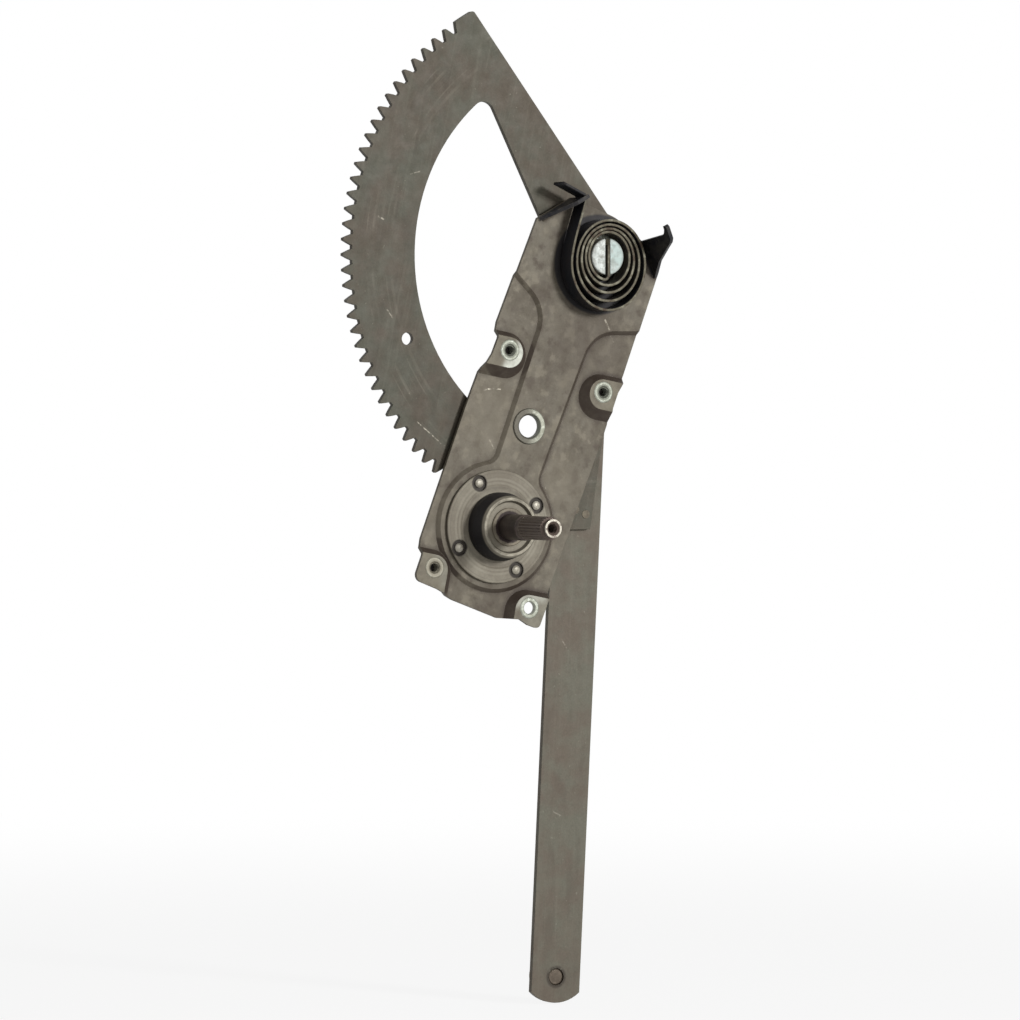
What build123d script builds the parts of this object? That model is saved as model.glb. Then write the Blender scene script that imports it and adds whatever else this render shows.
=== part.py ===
from build123d import *
import os
from math import acos, asin, atan2, cos, degrees, hypot, pi, radians, sin, sqrt, tan

# Hand-wound window regulator for a vehicle door: one lift arm with a toothed sector,
# driven by a small pinion behind a braked winder housing.
#
# Everything is drawn as seen by someone facing the regulator from inside the car:
# x to the right, y up, z towards that person. The winder shaft lies on the z axis and
# z = 0 is the plane of the four fixing pads. stand_up() turns the drawing into the
# model's frame: X right, Z up, +Y away from the person. All lengths are millimetres.

# ---------------------------------------------------------------- gear pair
MODULE = 2.5
SECTOR_TEETH_PER_TURN = 114
PINION_TEETH = 8
TEETH_ABOVE_MESH = 39       # sector teeth above the one that is in mesh at rest
TEETH_BELOW_MESH = 3        # sector teeth past it, towards the tail
PRESSURE_ANGLE = 25.0
ADDENDUM = 2.4
DEDENDUM = 2.8
SECTOR_TOOTH_THICKNESS = 3.5    # on the pitch circle
BACKLASH = 0.3
PINION_TIP_CLEARANCE = 0.6
PINION_UNDERCUT = 6.9       # degrees that each flank leans in from base to root circle
GEAR_LINE_LEAN = 23.0       # shaft-to-pivot line, degrees right of vertical
TOOTH_LEAD = 0.58           # degrees that the nearest sector tooth is above the gear line

# ---------------------------------------------------------------- lift sheets
SECTOR_SHEET = 3.0
ARM_SHEET = 3.0
SECTOR_DEPTH = 9.0          # pads' plane to the sector's front face
RIM_INNER_RADIUS = 103.7
HUB_RADIUS = 21.7
UPPER_LEG_OUTER_LEAN = 37.3     # degrees left of vertical
UPPER_LEG_INNER_LEAN = 26.4
UPPER_LEG_INNER_OFFSET = 17.7   # from the pivot
LOWER_LEG_INNER_OFFSET = 21.0
OPENING_TOP_RADIUS = 6.6
OPENING_TAIL_RADIUS = 4.6
OPENING_ROOT_RADIUS = 12.0
SECTOR_TOP_ROUNDING = 2.0
SECTOR_TAIL_DROP = 142.5    # pivot down to the tail's straight end
SECTOR_TAIL_RIGHT = -0.5    # tail's right corner from the pivot
SECTOR_TAIL_LEFT = -27.0
GAUGE_HOLE_DIAMETER = 6.5
GAUGE_HOLE_X = -107.9       # from the pivot
GAUGE_HOLE_Y = -43.2
ARM_LENGTH = 377.5          # pivot to guide pin
ARM_LEAN = 2.9              # degrees left of straight down
ARM_WIDTH = 28.5
ARM_HUB_RADIUS = 18.0
ARM_TIP_REACH = 13.6        # guide pin to the arm's crowned end
ARM_TIP_RADIUS = 21.0
WELD_DIAMETER = 4.4
WELD_PROUD = 0.25
WELD_BITE = 1.5             # how far a weld goes into the arm
WELD_PLACES = [(-9.3, -132.2), (-3.1, -134.6), (-9.0, -96.0), (-6.0, -44.0)]

# ---------------------------------------------------------------- base plate
PLATE_SHEET = 2.0
PLATE_LEFT_ROUNDING = 4.0
PLATE_RIGHT_ROUNDING = 2.5
PLATE_CREST_RADIUS = 23.4   # rounded top edge about the pivot
# corners, as (across, along the gear line) from the shaft
PLATE_FOOT_LEFT = (-36.4, -43.6)
PLATE_FOOT_MIDDLE = [(-20.0, -43.2), (-8.0, -44.4), (20.0, -43.2), (30.5, -39.6), (36.0, -40.5)]
PLATE_FOOT_RIGHT = (42.8, -40.0)
PLATE_WAIST_LEFT = (-39.9, 50.0)
PLATE_WAIST_RIGHT = (40.9, 70.0)
LEFT_TAB_SHOULDER = (-40.3, 157.0)
LEFT_TAB_ROOT = (-26.0, 175.0)
RIGHT_TAB_SHOULDER = (37.2, 157.1)
RIGHT_TAB_ROOT = (21.4, 171.1)
BAY_DEPTH = 1.8             # how far a pad's pressing draws the plate's side edge in
BAY_UP = 3.0                # from the hole up to the end of the drawn-in edge
BAY_DOWN = 5.5
BAY_RAMP = 8.5
CHANNEL_DROP = 2.5          # pads' plane back to the channel's front face
WING_DROP = 4.3             # pads' plane back to the wings' front face
CHANNEL_HALF_WIDTH = 12.9
CHANNEL_LEFT_SPREAD = 3.1   # how much wider its left side is where it starts to flare
CHANNEL_SPREAD_START = 43.0     # along the gear line, where the left side has the half width
SHAFT_SEAT_RADIUS = 32.4
CHANNEL_RAMP = 2.1
CHANNEL_FLARE_START = 115.9     # along the gear line, where the channel starts to widen
CHANNEL_FLARE_RISE = 23.3       # degrees from square across
CHANNEL_BEND_RADIUS = 20.0
SEAT_BEND_RADIUS = 9.0
PAD_RADIUS = 7.9            # rounded inner end of a pad
PAD_DROP = 1.2              # its centre below the hole
PAD_FOOT_RADIUS = 12.0      # where the pad's wall meets the wing
PAD_FOOT_DROP = 2.6
PAD_TURN = 12.0             # pads' edges, degrees anticlockwise from the gear line's frame
WALL_SHRINK = 0.8           # how much smaller a pressing is behind than in front
BOLT_SPACING_ACROSS = 59.5
BOLT_SPACING_ALONG = 120.5
BOLT_CENTRE_ACROSS = 1.9
BOLT_CENTRE_ALONG = 27.4
BOLT_SKEW = 1.6             # degrees that the bolt rectangle is turned from the gear line

# ---------------------------------------------------------------- spring tabs
# bent forward from the plate's upper corners, as (along from the root, forward of the
# channel's front face); the left one holds the spring, the right one stands taller
LEFT_TAB_EDGE = [(17.5, 5.0), (7.5, 12.3), (4.5, 13.9), (-3.0, 13.9), (-3.0, 12.9), (0.0, 12.9)]
RIGHT_TAB_EDGE = [
    (18.6, 3.6), (11.6, 12.4), (4.4, 25.9), (1.5, 31.6), (-0.8, 34.0), (-4.4, 34.6), (-7.6, 35.0),
    (-8.8, 33.8), (-8.4, 31.9), (-6.4, 31.6), (-4.6, 30.0), (-3.5, 28.0),
]
TAB_BEND_RADIUS = 2.0

# ---------------------------------------------------------------- fixing nuts and collar
THREAD_MINOR_DIAMETER = 5.0     # M6
THREAD_MAJOR_DIAMETER = 6.0
NUT_RING_DIAMETER = 11.0
NUT_BODY_DIAMETER = 9.8
NUT_BODY_DEPTH = 5.0
NUT_PROUD = 0.3
EYELET_BORE = 6.4           # the lower right hole has a plain eyelet in place of a nut
EYELET_TAIL = 0.4
COLLAR_ALONG = 55.3
COLLAR_ACROSS = -2.6
COLLAR_BORE = 11.6
COLLAR_MOUTH = 13.4
COLLAR_BARREL = 14.6
COLLAR_RIM = 18.8
COLLAR_RIM_THICKNESS = 0.8
COLLAR_TAIL = 0.2
PRESS_GAP = 0.02            # pressed-in pieces are drawn this much apart

# ---------------------------------------------------------------- winder housing
FLANGE_DIAMETER = 59.0
FLANGE_SHEET = 2.0
FLANGE_RING_DIAMETER = 42.4
FLANGE_RING_RISE = 0.4
DRUM_DIAMETER = 35.5
DRUM_FRONT_DIAMETER = 31.0
DRUM_STRAIGHT = 5.0
DRUM_LENGTH = 14.0          # flange front to drum front
DRUM_WALL = 2.0
DRUM_DISH_DIAMETER = 26.6
DRUM_DISH_DEPTH = 2.0
RIVET_EDGE = 4.5            # rivet centres in from the flange's edge
RIVET_PHASE = 48.5          # first of the four, degrees left of the gear line
RIVET_DIAMETER = 4.0
RIVET_HEAD_DIAMETER = 4.6
RIVET_HEAD_HEIGHT = 1.5
RIVET_POCKET_DIAMETER = 8.0
RIVET_POCKET_DEPTH = 1.0
RIVET_TAIL_DIAMETER = 6.2
RIVET_TAIL_HEIGHT = 1.3

# ---------------------------------------------------------------- winder shaft line
SHAFT_TIP = 60.0            # pads' plane to the shaft's end
SHAFT_STEP = 31.0
SHAFT_ROOT_DIAMETER = 13.4
SHAFT_SERRATED_DIAMETER = 12.2
SHAFT_SERRATIONS = 24
SERRATION_DEPTH = 0.5
SHAFT_PILOT_DIAMETER = 9.6
SHAFT_PILOT_LENGTH = 3.0
SHAFT_THREAD_DEPTH = 18.0
SHAFT_MOUTH_DIAMETER = 7.4
SHAFT_DOG_DIAMETER = 11.0
SHAFT_PINION_DIAMETER = 9.0
SHAFT_JOURNAL_DIAMETER = 8.0
RUNNING_CLEARANCE = 0.05    # radial, between a shaft and its bush
AXIAL_PLAY = 0.05
BUSH_WALL = 2.0
BUSH_RIM_WALL = 3.2
BUSH_RIM_THICKNESS = 1.0
PINION_WIDTH = 5.0
PINION_LEAD = 1.0           # pinion's front ahead of the sector's
HUB_COIL_CLEARANCE = 1.1
PINION_HUB_THICKNESS = 3.0
PINION_JAW_HEIGHT = 5.0
PINION_JAW_ARC = 110.0
JAW_INNER_DIAMETER = 17.0
DOG_THICKNESS = 3.4
DOG_LUG_ARC = 40.0
DOG_PLAY = 0.3
PINION_PASSAGE_CLEARANCE = 0.7
BRAKE_WIRE = 2.0
BRAKE_TURNS = 2.1
BRAKE_PITCH = 2.2
BRAKE_CLEARANCE = 0.35      # coil to drum wall
PINION_HUB_DIAMETER = DRUM_DIAMETER - 2 * (DRUM_WALL + BRAKE_CLEARANCE + BRAKE_WIRE + HUB_COIL_CLEARANCE)
BRIDGE_SHEET = 1.6
BRIDGE_INNER_CLEARANCE = 0.7    # pinion tips to the bridge's legs
BRIDGE_LEG_BOTTOM = -12.0
BRIDGE_LEG_TOP = 5.0
BRIDGE_FOOT_REACH = 21.5
BRIDGE_FOOT_EDGE = 24.4
BRIDGE_FOOT_ROUNDING = 4.0
THRUST_GAP = 2.2            # pinion back to the bridge's web
THRUST_WASHER_DIAMETER = 16.0
CLIP_DIAMETER = 14.0
CLIP_THICKNESS = 1.0
CLIP_GROOVE_DEPTH = 0.8
SHAFT_TAIL = 0.8

# ---------------------------------------------------------------- pivot
STUD_HEAD_DIAMETER = 19.0
STUD_HEAD_CHAMFER = 0.4
STUD_FACE = 9.3             # pads' plane forward to the stud's front face
STUD_SLOT_WIDTH = 3.0
STUD_SLOT_DEPTH = 10.3
STUD_JOURNAL_DIAMETER = 16.0
STUD_SPIGOT_DIAMETER = 13.0
STUD_RIVETED_DIAMETER = 19.0
STUD_RIVETED_HEIGHT = 2.2
PIVOT_BUSH_DIAMETER = 20.0
PIVOT_BUSH_RIM_DIAMETER = 30.0
PIVOT_WASHER_DIAMETER = 25.0
PIVOT_WASHER_THICKNESS = 1.1

# ---------------------------------------------------------------- counterbalance spring
STRIP_THICKNESS = 1.4
STRIP_WIDTH = 10.9
SPRING_SWEEP = 1528.0       # degrees of spiral between tang and straight run
SPRING_INNER_RADIUS = 11.2
SPRING_OUTER_RADIUS = 22.8
SPRING_GROWTH_POWER = 1.25  # above 1: turns spread out towards the outside
SPRING_STRETCH = 1.1        # height over width of each turn
SPRING_SAG = 4.2            # outer turns lie this much lower than the stud
SPRING_SHIFT = 1.0          # and this much to its right
SPRING_RUN_LEAN = 15.0      # straight run to the tab, degrees right of vertical
SPRING_FLOOR_GAP = 0.7      # above the pivot washer
TANG_RISE = 6.0             # how far the tang reaches past the stud's centre
TANG_BEND_RADIUS = 2.4
HOOK_BEND_RADIUS = 2.2
HOOK_LEG_LENGTH = 13.5
HOOK_LEG_LEAN = 65.0        # hooked end, degrees left of vertical
HOOK_CLEARANCE = 0.1        # strip to the tab's inner corner
HOOK_LEG_CLEARANCE = 0.9    # hooked end to the tab's outer corner

# ---------------------------------------------------------------- guide pin and roller
PIN_SHANK_DIAMETER = 9.0
PIN_SINK = 0.5              # riveted end below the arm's front face
PIN_SHOULDER_DIAMETER = 14.0
PIN_SHOULDER_THICKNESS = 2.0
PIN_JOURNAL_DIAMETER = 8.0
PIN_HEAD_DIAMETER = 12.0
PIN_HEAD_THICKNESS = 1.6
ROLLER_DIAMETER = 18.0
ROLLER_WIDTH = 9.0
ROLLER_PLAY = 0.15
ROLLER_WASHER_DIAMETER = 13.0
ROLLER_WASHER_THICKNESS = 0.8

# ---------------------------------------------------------------- worked-out places
PITCH_ANGLE = 360.0 / SECTOR_TEETH_PER_TURN
SECTOR_PITCH_RADIUS = MODULE * SECTOR_TEETH_PER_TURN / 2
PINION_PITCH_RADIUS = MODULE * PINION_TEETH / 2
CENTRE_DISTANCE = SECTOR_PITCH_RADIUS + PINION_PITCH_RADIUS
SECTOR_TIP_RADIUS = SECTOR_PITCH_RADIUS + ADDENDUM
SECTOR_ROOT_RADIUS = SECTOR_PITCH_RADIUS - DEDENDUM
PINION_TIP_RADIUS = PINION_PITCH_RADIUS + DEDENDUM - PINION_TIP_CLEARANCE
PINION_ROOT_RADIUS = PINION_PITCH_RADIUS - DEDENDUM
PINION_TOOTH_THICKNESS = pi * MODULE - SECTOR_TOOTH_THICKNESS - BACKLASH
GEAR_RATIO = SECTOR_TEETH_PER_TURN / PINION_TEETH
MESH_TOOTH_ANGLE = 270.0 - GEAR_LINE_LEAN - TOOTH_LEAD
PIVOT_X = CENTRE_DISTANCE * sin(radians(GEAR_LINE_LEAN))
PIVOT_Y = CENTRE_DISTANCE * cos(radians(GEAR_LINE_LEAN))

CHANNEL_FACE = -CHANNEL_DROP
CHANNEL_BACK = CHANNEL_FACE - PLATE_SHEET
WING_FACE = -WING_DROP
WING_BACK = WING_FACE - PLATE_SHEET
SECTOR_FRONT = -SECTOR_DEPTH
SECTOR_BACK = SECTOR_FRONT - SECTOR_SHEET
ARM_FRONT = SECTOR_BACK
ARM_BACK = ARM_FRONT - ARM_SHEET
FLANGE_FACE = CHANNEL_FACE + FLANGE_SHEET
DRUM_FACE = FLANGE_FACE + DRUM_LENGTH
DISH_FACE = DRUM_FACE - DRUM_DISH_DEPTH
CAVITY_TOP = DISH_FACE - DRUM_WALL
FOOT_BACK = CHANNEL_BACK - BRIDGE_SHEET
PINION_FRONT = SECTOR_FRONT + PINION_LEAD
PINION_BACK = PINION_FRONT - PINION_WIDTH
BRIDGE_FRONT = PINION_BACK - THRUST_GAP
BRIDGE_BACK = BRIDGE_FRONT - BRIDGE_SHEET
CLIP_FRONT = BRIDGE_BACK - 4 * AXIAL_PLAY
CLIP_BACK = CLIP_FRONT - CLIP_THICKNESS
PINION_HUB_FRONT = CHANNEL_FACE + 1.5
PINION_HUB_BACK = PINION_HUB_FRONT - PINION_HUB_THICKNESS
JAW_TOP = PINION_HUB_FRONT + PINION_JAW_HEIGHT
DOG_BACK = JAW_TOP + DOG_PLAY
DOG_FRONT = DOG_BACK + DOG_THICKNESS
STUD_SHOULDER = CHANNEL_FACE + PIVOT_WASHER_THICKNESS + 2 * AXIAL_PLAY
SPRING_BACK = CHANNEL_FACE + PIVOT_WASHER_THICKNESS + SPRING_FLOOR_GAP
SPRING_FACE = SPRING_BACK + STRIP_WIDTH
PIVOT_HOLE_RADIUS = PIVOT_BUSH_DIAMETER / 2 + PRESS_GAP
BUSH_BORE_RADIUS = SHAFT_ROOT_DIAMETER / 2 + RUNNING_CLEARANCE
BUSH_RADIUS = BUSH_BORE_RADIUS + BUSH_WALL


# ---------------------------------------------------------------- small helpers
def polar(radius, angle):
    """Point at a radius and an angle in degrees, anticlockwise from +x."""
    return (radius * cos(radians(angle)), radius * sin(radians(angle)))


def arc_about(centre, radius, start, end):
    """Circular edge about a centre between two angles in degrees."""
    return CenterArc(centre, radius, start, end - start)


def disc(radius, bottom, top, place=(0, 0)):
    """Solid cylinder between two heights."""
    return Pos(place[0], place[1], bottom) * extrude(Circle(radius), top - bottom)


def ring(inner, outer, bottom, top, place=(0, 0)):
    """Plain washer shape between two heights."""
    return Pos(place[0], place[1], bottom) * extrude(Circle(outer) - Circle(inner), top - bottom)


def turned(profile, place=(0, 0)):
    """Solid of revolution about z from (radius, height) corners."""
    face = Plane.XZ * make_face(Polyline([*profile, profile[0]]))
    return Pos(place[0], place[1], 0) * revolve(face, Axis.Z)


def slab(sketch, bottom, top):
    """Flat plate of a sketch between two heights."""
    return Pos(0, 0, bottom) * extrude(sketch, top - bottom)


def lean_right(shape):
    """Turns what is drawn along an upright gear line to its true lean."""
    return Rot(0, 0, -GEAR_LINE_LEAN) * shape


def at_pivot(shape):
    """Moves what is drawn about the pivot to its place."""
    return Pos(PIVOT_X, PIVOT_Y, 0) * shape


def stand_up(shape):
    """Bench drawing to the model's frame: +Z up, +Y away from the viewer."""
    return Plane.XZ * shape


def plate_point(across, along):
    """Plate coordinates to bench coordinates."""
    lean = radians(GEAR_LINE_LEAN)
    return (across * cos(lean) + along * sin(lean), along * cos(lean) - across * sin(lean))


def to_left(heading):
    """Unit vector to the left of a heading."""
    return Vector(-heading.Y, heading.X)


def bearing(vector):
    """Angle of a vector in degrees, anticlockwise from +x."""
    return degrees(atan2(vector.Y, vector.X))


def meeting_point(start, way, other_start, other_way):
    """Where two straight lines cross."""
    gap = other_start - start
    cross = way.X * other_way.Y - way.Y * other_way.X
    return start + way * ((gap.X * other_way.Y - gap.Y * other_way.X) / cross)


# ---------------------------------------------------------------- teeth
def involute(angle):
    """Involute function of an angle in radians."""
    return tan(angle) - angle


def half_tooth(radius, pitch_radius, thickness):
    """Half the angle, in degrees, that an involute tooth spans at a radius."""
    base = pitch_radius * cos(radians(PRESSURE_ANGLE))
    pressure = acos(min(1.0, base / radius))
    half = thickness / (2 * pitch_radius) + involute(radians(PRESSURE_ANGLE)) - involute(pressure)
    return degrees(half)


def pinion_half_tooth(radius):
    """The same for the pinion, whose flanks lean in below the base circle."""
    base = PINION_PITCH_RADIUS * cos(radians(PRESSURE_ANGLE))
    half = half_tooth(max(radius, base), PINION_PITCH_RADIUS, PINION_TOOTH_THICKNESS)
    if radius < base:
        half -= PINION_UNDERCUT * (base - radius) / (base - PINION_ROOT_RADIUS)
    return half


def sector_half_tooth(radius):
    """Half angle of a sector tooth at a radius."""
    return half_tooth(radius, SECTOR_PITCH_RADIUS, SECTOR_TOOTH_THICKNESS)


def flank(half_angle, centre, side, radii):
    """Tooth flank as a spline through points at the given radii."""
    return Spline([polar(r, centre + side * half_angle(r)) for r in radii])


def tooth_gap(half_angle, centre, root, tip, steps, pitch):
    """Edges from one tooth's far flank over the root to the next tooth's near flank."""
    radii = [root + (tip - root) * i / steps for i in range(steps + 1)]
    down = flank(half_angle, centre, 1, radii[::-1])
    floor = arc_about((0, 0), root, centre + half_angle(root), centre + pitch - half_angle(root))
    up = flank(half_angle, centre + pitch, -1, radii)
    return [down, floor, up]


def pinion_profile():
    """Closed outline of the pinion, with a gap facing the nearest sector tooth."""
    pitch = 360.0 / PINION_TEETH
    first = 90.0 - GEAR_LINE_LEAN + TOOTH_LEAD * GEAR_RATIO + pitch / 2
    edges = []
    for i in range(PINION_TEETH):
        centre = first + i * pitch
        tip_half = pinion_half_tooth(PINION_TIP_RADIUS)
        edges.append(arc_about((0, 0), PINION_TIP_RADIUS, centre - tip_half, centre + tip_half))
        edges += tooth_gap(pinion_half_tooth, centre, PINION_ROOT_RADIUS, PINION_TIP_RADIUS, 4, pitch)
    return make_face(Wire(edges))


# ---------------------------------------------------------------- lift: sector, arm, stud
def sector_outline():
    """Toothed rim, straight outer edges and hub, about the pivot."""
    tip, root = SECTOR_TIP_RADIUS, SECTOR_ROOT_RADIUS
    top_tooth = MESH_TOOTH_ANGLE - TEETH_ABOVE_MESH * PITCH_ANGLE
    last_tooth = MESH_TOOTH_ANGLE + TEETH_BELOW_MESH * PITCH_ANGLE
    outer_normal = UPPER_LEG_OUTER_LEAN
    hub_start = polar(HUB_RADIUS, outer_normal)
    top_angle = outer_normal + degrees(acos(HUB_RADIUS / tip))
    tail_corner = (SECTOR_TAIL_RIGHT, -SECTOR_TAIL_DROP)
    tail_range = hypot(*tail_corner)
    tail_bearing = degrees(atan2(tail_corner[1], tail_corner[0]))
    hub_end_angle = tail_bearing + degrees(acos(HUB_RADIUS / tail_range))

    tip_half = sector_half_tooth(tip)
    edges = [Line(hub_start, polar(tip, top_angle))]
    edges.append(arc_about((0, 0), tip, top_angle, top_tooth + tip_half))
    for i in range(TEETH_ABOVE_MESH + TEETH_BELOW_MESH):
        centre = top_tooth + i * PITCH_ANGLE
        edges += tooth_gap(sector_half_tooth, centre, root, tip, 2, PITCH_ANGLE)
        following = centre + PITCH_ANGLE
        edges.append(arc_about((0, 0), tip, following - tip_half, following + tip_half))
    edges.append(flank(sector_half_tooth, last_tooth, 1, [tip, (tip + root) / 2, root]))
    edge_end = polar(root, last_tooth + sector_half_tooth(root))
    tail_left = (SECTOR_TAIL_LEFT, -SECTOR_TAIL_DROP)
    edges.append(Line(edge_end, tail_left))
    edges.append(Line(tail_left, tail_corner))
    edges.append(Line(tail_corner, polar(HUB_RADIUS, hub_end_angle)))
    edges.append(arc_about((0, 0), HUB_RADIUS, hub_end_angle, outer_normal))
    outline = make_face(Wire(edges))
    top_corner = outline.vertices().sort_by_distance(polar(tip, top_angle))[0]
    return fillet(top_corner, SECTOR_TOP_ROUNDING)


def sector_opening():
    """Crescent-shaped window between the rim and the two legs."""
    up = 90.0 + UPPER_LEG_INNER_LEAN
    down = 270.0 - ARM_LEAN
    up_foot = Vector(*polar(UPPER_LEG_INNER_OFFSET, up + 90.0))
    down_foot = Vector(*polar(LOWER_LEG_INNER_OFFSET, down - 90.0))
    up_way, down_way = Vector(*polar(1.0, up)), Vector(*polar(1.0, down))
    corner = meeting_point(up_foot, up_way, down_foot, down_way)
    reach = 2 * RIM_INNER_RADIUS
    far_left = corner + Vector(*polar(2 * reach, (up + down) / 2))
    points = [corner, corner + up_way * reach, far_left, corner + down_way * reach, corner]
    crescent = make_face(Polyline(points)) & Circle(RIM_INNER_RADIUS)
    near = crescent.vertices().sort_by_distance((corner.X, corner.Y))[0]
    crescent = fillet(near, OPENING_ROOT_RADIUS)
    crescent = fillet(crescent.vertices().sort_by(Axis.Y)[-1], OPENING_TOP_RADIUS)
    return fillet(crescent.vertices().sort_by(Axis.Y)[0], OPENING_TAIL_RADIUS)


def make_sector_gear():
    sheet = slab(sector_outline(), SECTOR_BACK, SECTOR_FRONT)
    sheet -= slab(sector_opening(), SECTOR_BACK, SECTOR_FRONT)
    sheet -= disc(STUD_SPIGOT_DIAMETER / 2 + PRESS_GAP, SECTOR_BACK, SECTOR_FRONT)
    sheet -= disc(GAUGE_HOLE_DIAMETER / 2, SECTOR_BACK, SECTOR_FRONT, (GAUGE_HOLE_X, GAUGE_HOLE_Y))
    for place in WELD_PLACES:
        sheet -= disc(WELD_DIAMETER / 2 + PRESS_GAP, SECTOR_BACK, SECTOR_FRONT, place)
    return at_pivot(sheet)


def pin_place():
    """Guide pin's centre from the pivot."""
    return polar(ARM_LENGTH, 270.0 - ARM_LEAN)


def make_lift_arm():
    half = ARM_WIDTH / 2
    end = -(ARM_LENGTH + ARM_TIP_REACH)
    bar = Pos(0, end / 2) * Rectangle(ARM_WIDTH, -end)
    crown = Pos(0, end + ARM_TIP_RADIUS) * Circle(ARM_TIP_RADIUS)
    keep = Pos(0, -(ARM_LENGTH / 2)) * Rectangle(ARM_WIDTH, ARM_LENGTH) + (crown & bar)
    flat = (keep & bar) + Circle(ARM_HUB_RADIUS)
    blend = [v for v in flat.vertices() if abs(abs(v.X) - half) < 0.01 and -ARM_HUB_RADIUS < v.Y < 0]
    flat = fillet(blend, ARM_WIDTH)
    flat = Rot(0, 0, -ARM_LEAN) * flat
    sheet = slab(flat, ARM_BACK, ARM_FRONT)
    sheet -= disc(STUD_SPIGOT_DIAMETER / 2 + PRESS_GAP, ARM_BACK, ARM_FRONT)
    pin = pin_place()
    sheet -= disc(PIN_SHANK_DIAMETER / 2 + PRESS_GAP, ARM_BACK, ARM_FRONT, pin)
    for place in WELD_PLACES:
        sheet -= disc(WELD_DIAMETER / 2 + PRESS_GAP, ARM_FRONT - WELD_BITE, ARM_FRONT, place)
    return at_pivot(sheet)


def make_arm_welds():
    radius = WELD_DIAMETER / 2
    bottom = ARM_FRONT - WELD_BITE
    return [
        at_pivot(disc(radius, bottom, SECTOR_FRONT + WELD_PROUD, place)) for place in WELD_PLACES
    ]


def make_pivot_stud():
    head, journal, spigot = STUD_HEAD_DIAMETER / 2, STUD_JOURNAL_DIAMETER / 2, STUD_SPIGOT_DIAMETER / 2
    riveted = STUD_RIVETED_DIAMETER / 2
    profile = [
        (0, STUD_FACE),
        (head - STUD_HEAD_CHAMFER, STUD_FACE),
        (head, STUD_FACE - STUD_HEAD_CHAMFER),
        (head, STUD_SHOULDER),
        (journal, STUD_SHOULDER),
        (journal, SECTOR_FRONT),
        (spigot, SECTOR_FRONT),
        (spigot, ARM_BACK),
        (riveted, ARM_BACK),
        (riveted - 1.0, ARM_BACK - STUD_RIVETED_HEIGHT + 0.6),
        (riveted - 3.0, ARM_BACK - STUD_RIVETED_HEIGHT),
        (0, ARM_BACK - STUD_RIVETED_HEIGHT),
    ]
    stud = turned(profile)
    slot = Pos(0, 0, STUD_FACE - STUD_SLOT_DEPTH / 2) * Box(
        STUD_SLOT_WIDTH, STUD_HEAD_DIAMETER + 2, STUD_SLOT_DEPTH
    )
    return at_pivot(stud - slot)


# ---------------------------------------------------------------- base plate
def drawn_in_edge(top, bottom, place):
    """Side edge from its top corner to its bottom one, drawn in beside a pad."""
    slope = (bottom[0] - top[0]) / (bottom[1] - top[1])
    pull = -BAY_DEPTH if top[0] > 0 else BAY_DEPTH
    levels = [
        (place[1] + BAY_UP + BAY_RAMP, 0.0),
        (place[1] + BAY_UP, pull),
        (place[1] - BAY_DOWN, pull),
        (place[1] - BAY_DOWN - BAY_RAMP, 0.0),
    ]
    points = [
        (top[0] + slope * (along - top[1]) + shift, along)
        for along, shift in levels
        if along > bottom[1]
    ]
    end = bottom if points[-1][1] == levels[-1][0] else (bottom[0] + pull, bottom[1])
    return [top, *points, end]


def plate_outline():
    """Plate's edge in plate coordinates: x across, y along the gear line."""
    upper_left, upper_right, lower_left, _ = bolt_places()
    left = drawn_in_edge(LEFT_TAB_SHOULDER, PLATE_WAIST_LEFT, upper_left)
    left += drawn_in_edge(PLATE_WAIST_LEFT, PLATE_FOOT_LEFT, lower_left)[1:]
    right = drawn_in_edge(RIGHT_TAB_SHOULDER, PLATE_WAIST_RIGHT, upper_right)
    right.append(PLATE_FOOT_RIGHT)
    corners = [*left, *PLATE_FOOT_MIDDLE, *right[::-1], RIGHT_TAB_ROOT, LEFT_TAB_ROOT]
    outline = make_face(Polyline([*corners, corners[0]]))
    for foot, rounding in ((left[-1], PLATE_LEFT_ROUNDING), (right[-1], PLATE_RIGHT_ROUNDING)):
        outline = fillet(outline.vertices().sort_by_distance(foot)[0], rounding)
    return outline + crest_face()


def crest_touch(root, side):
    """Where the line from a tab's root touches the crest circle round the pivot."""
    away = Vector(root[0], root[1] - CENTRE_DISTANCE)
    angle = bearing(away) + side * degrees(acos(PLATE_CREST_RADIUS / away.length))
    touch = polar(PLATE_CREST_RADIUS, angle)
    return (touch[0], touch[1] + CENTRE_DISTANCE)


def crest_face():
    """Rounded part of the plate above the straight line between the two tabs' roots."""
    left, right = crest_touch(LEFT_TAB_ROOT, -1), crest_touch(RIGHT_TAB_ROOT, 1)
    top = (0, CENTRE_DISTANCE + PLATE_CREST_RADIUS)
    outline = Wire(
        [
            Line(LEFT_TAB_ROOT, left),
            ThreePointArc(left, top, right),
            Line(right, RIGHT_TAB_ROOT),
            Line(RIGHT_TAB_ROOT, (0, CENTRE_DISTANCE)),
            Line((0, CENTRE_DISTANCE), LEFT_TAB_ROOT),
        ]
    )
    return make_face(outline)


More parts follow.
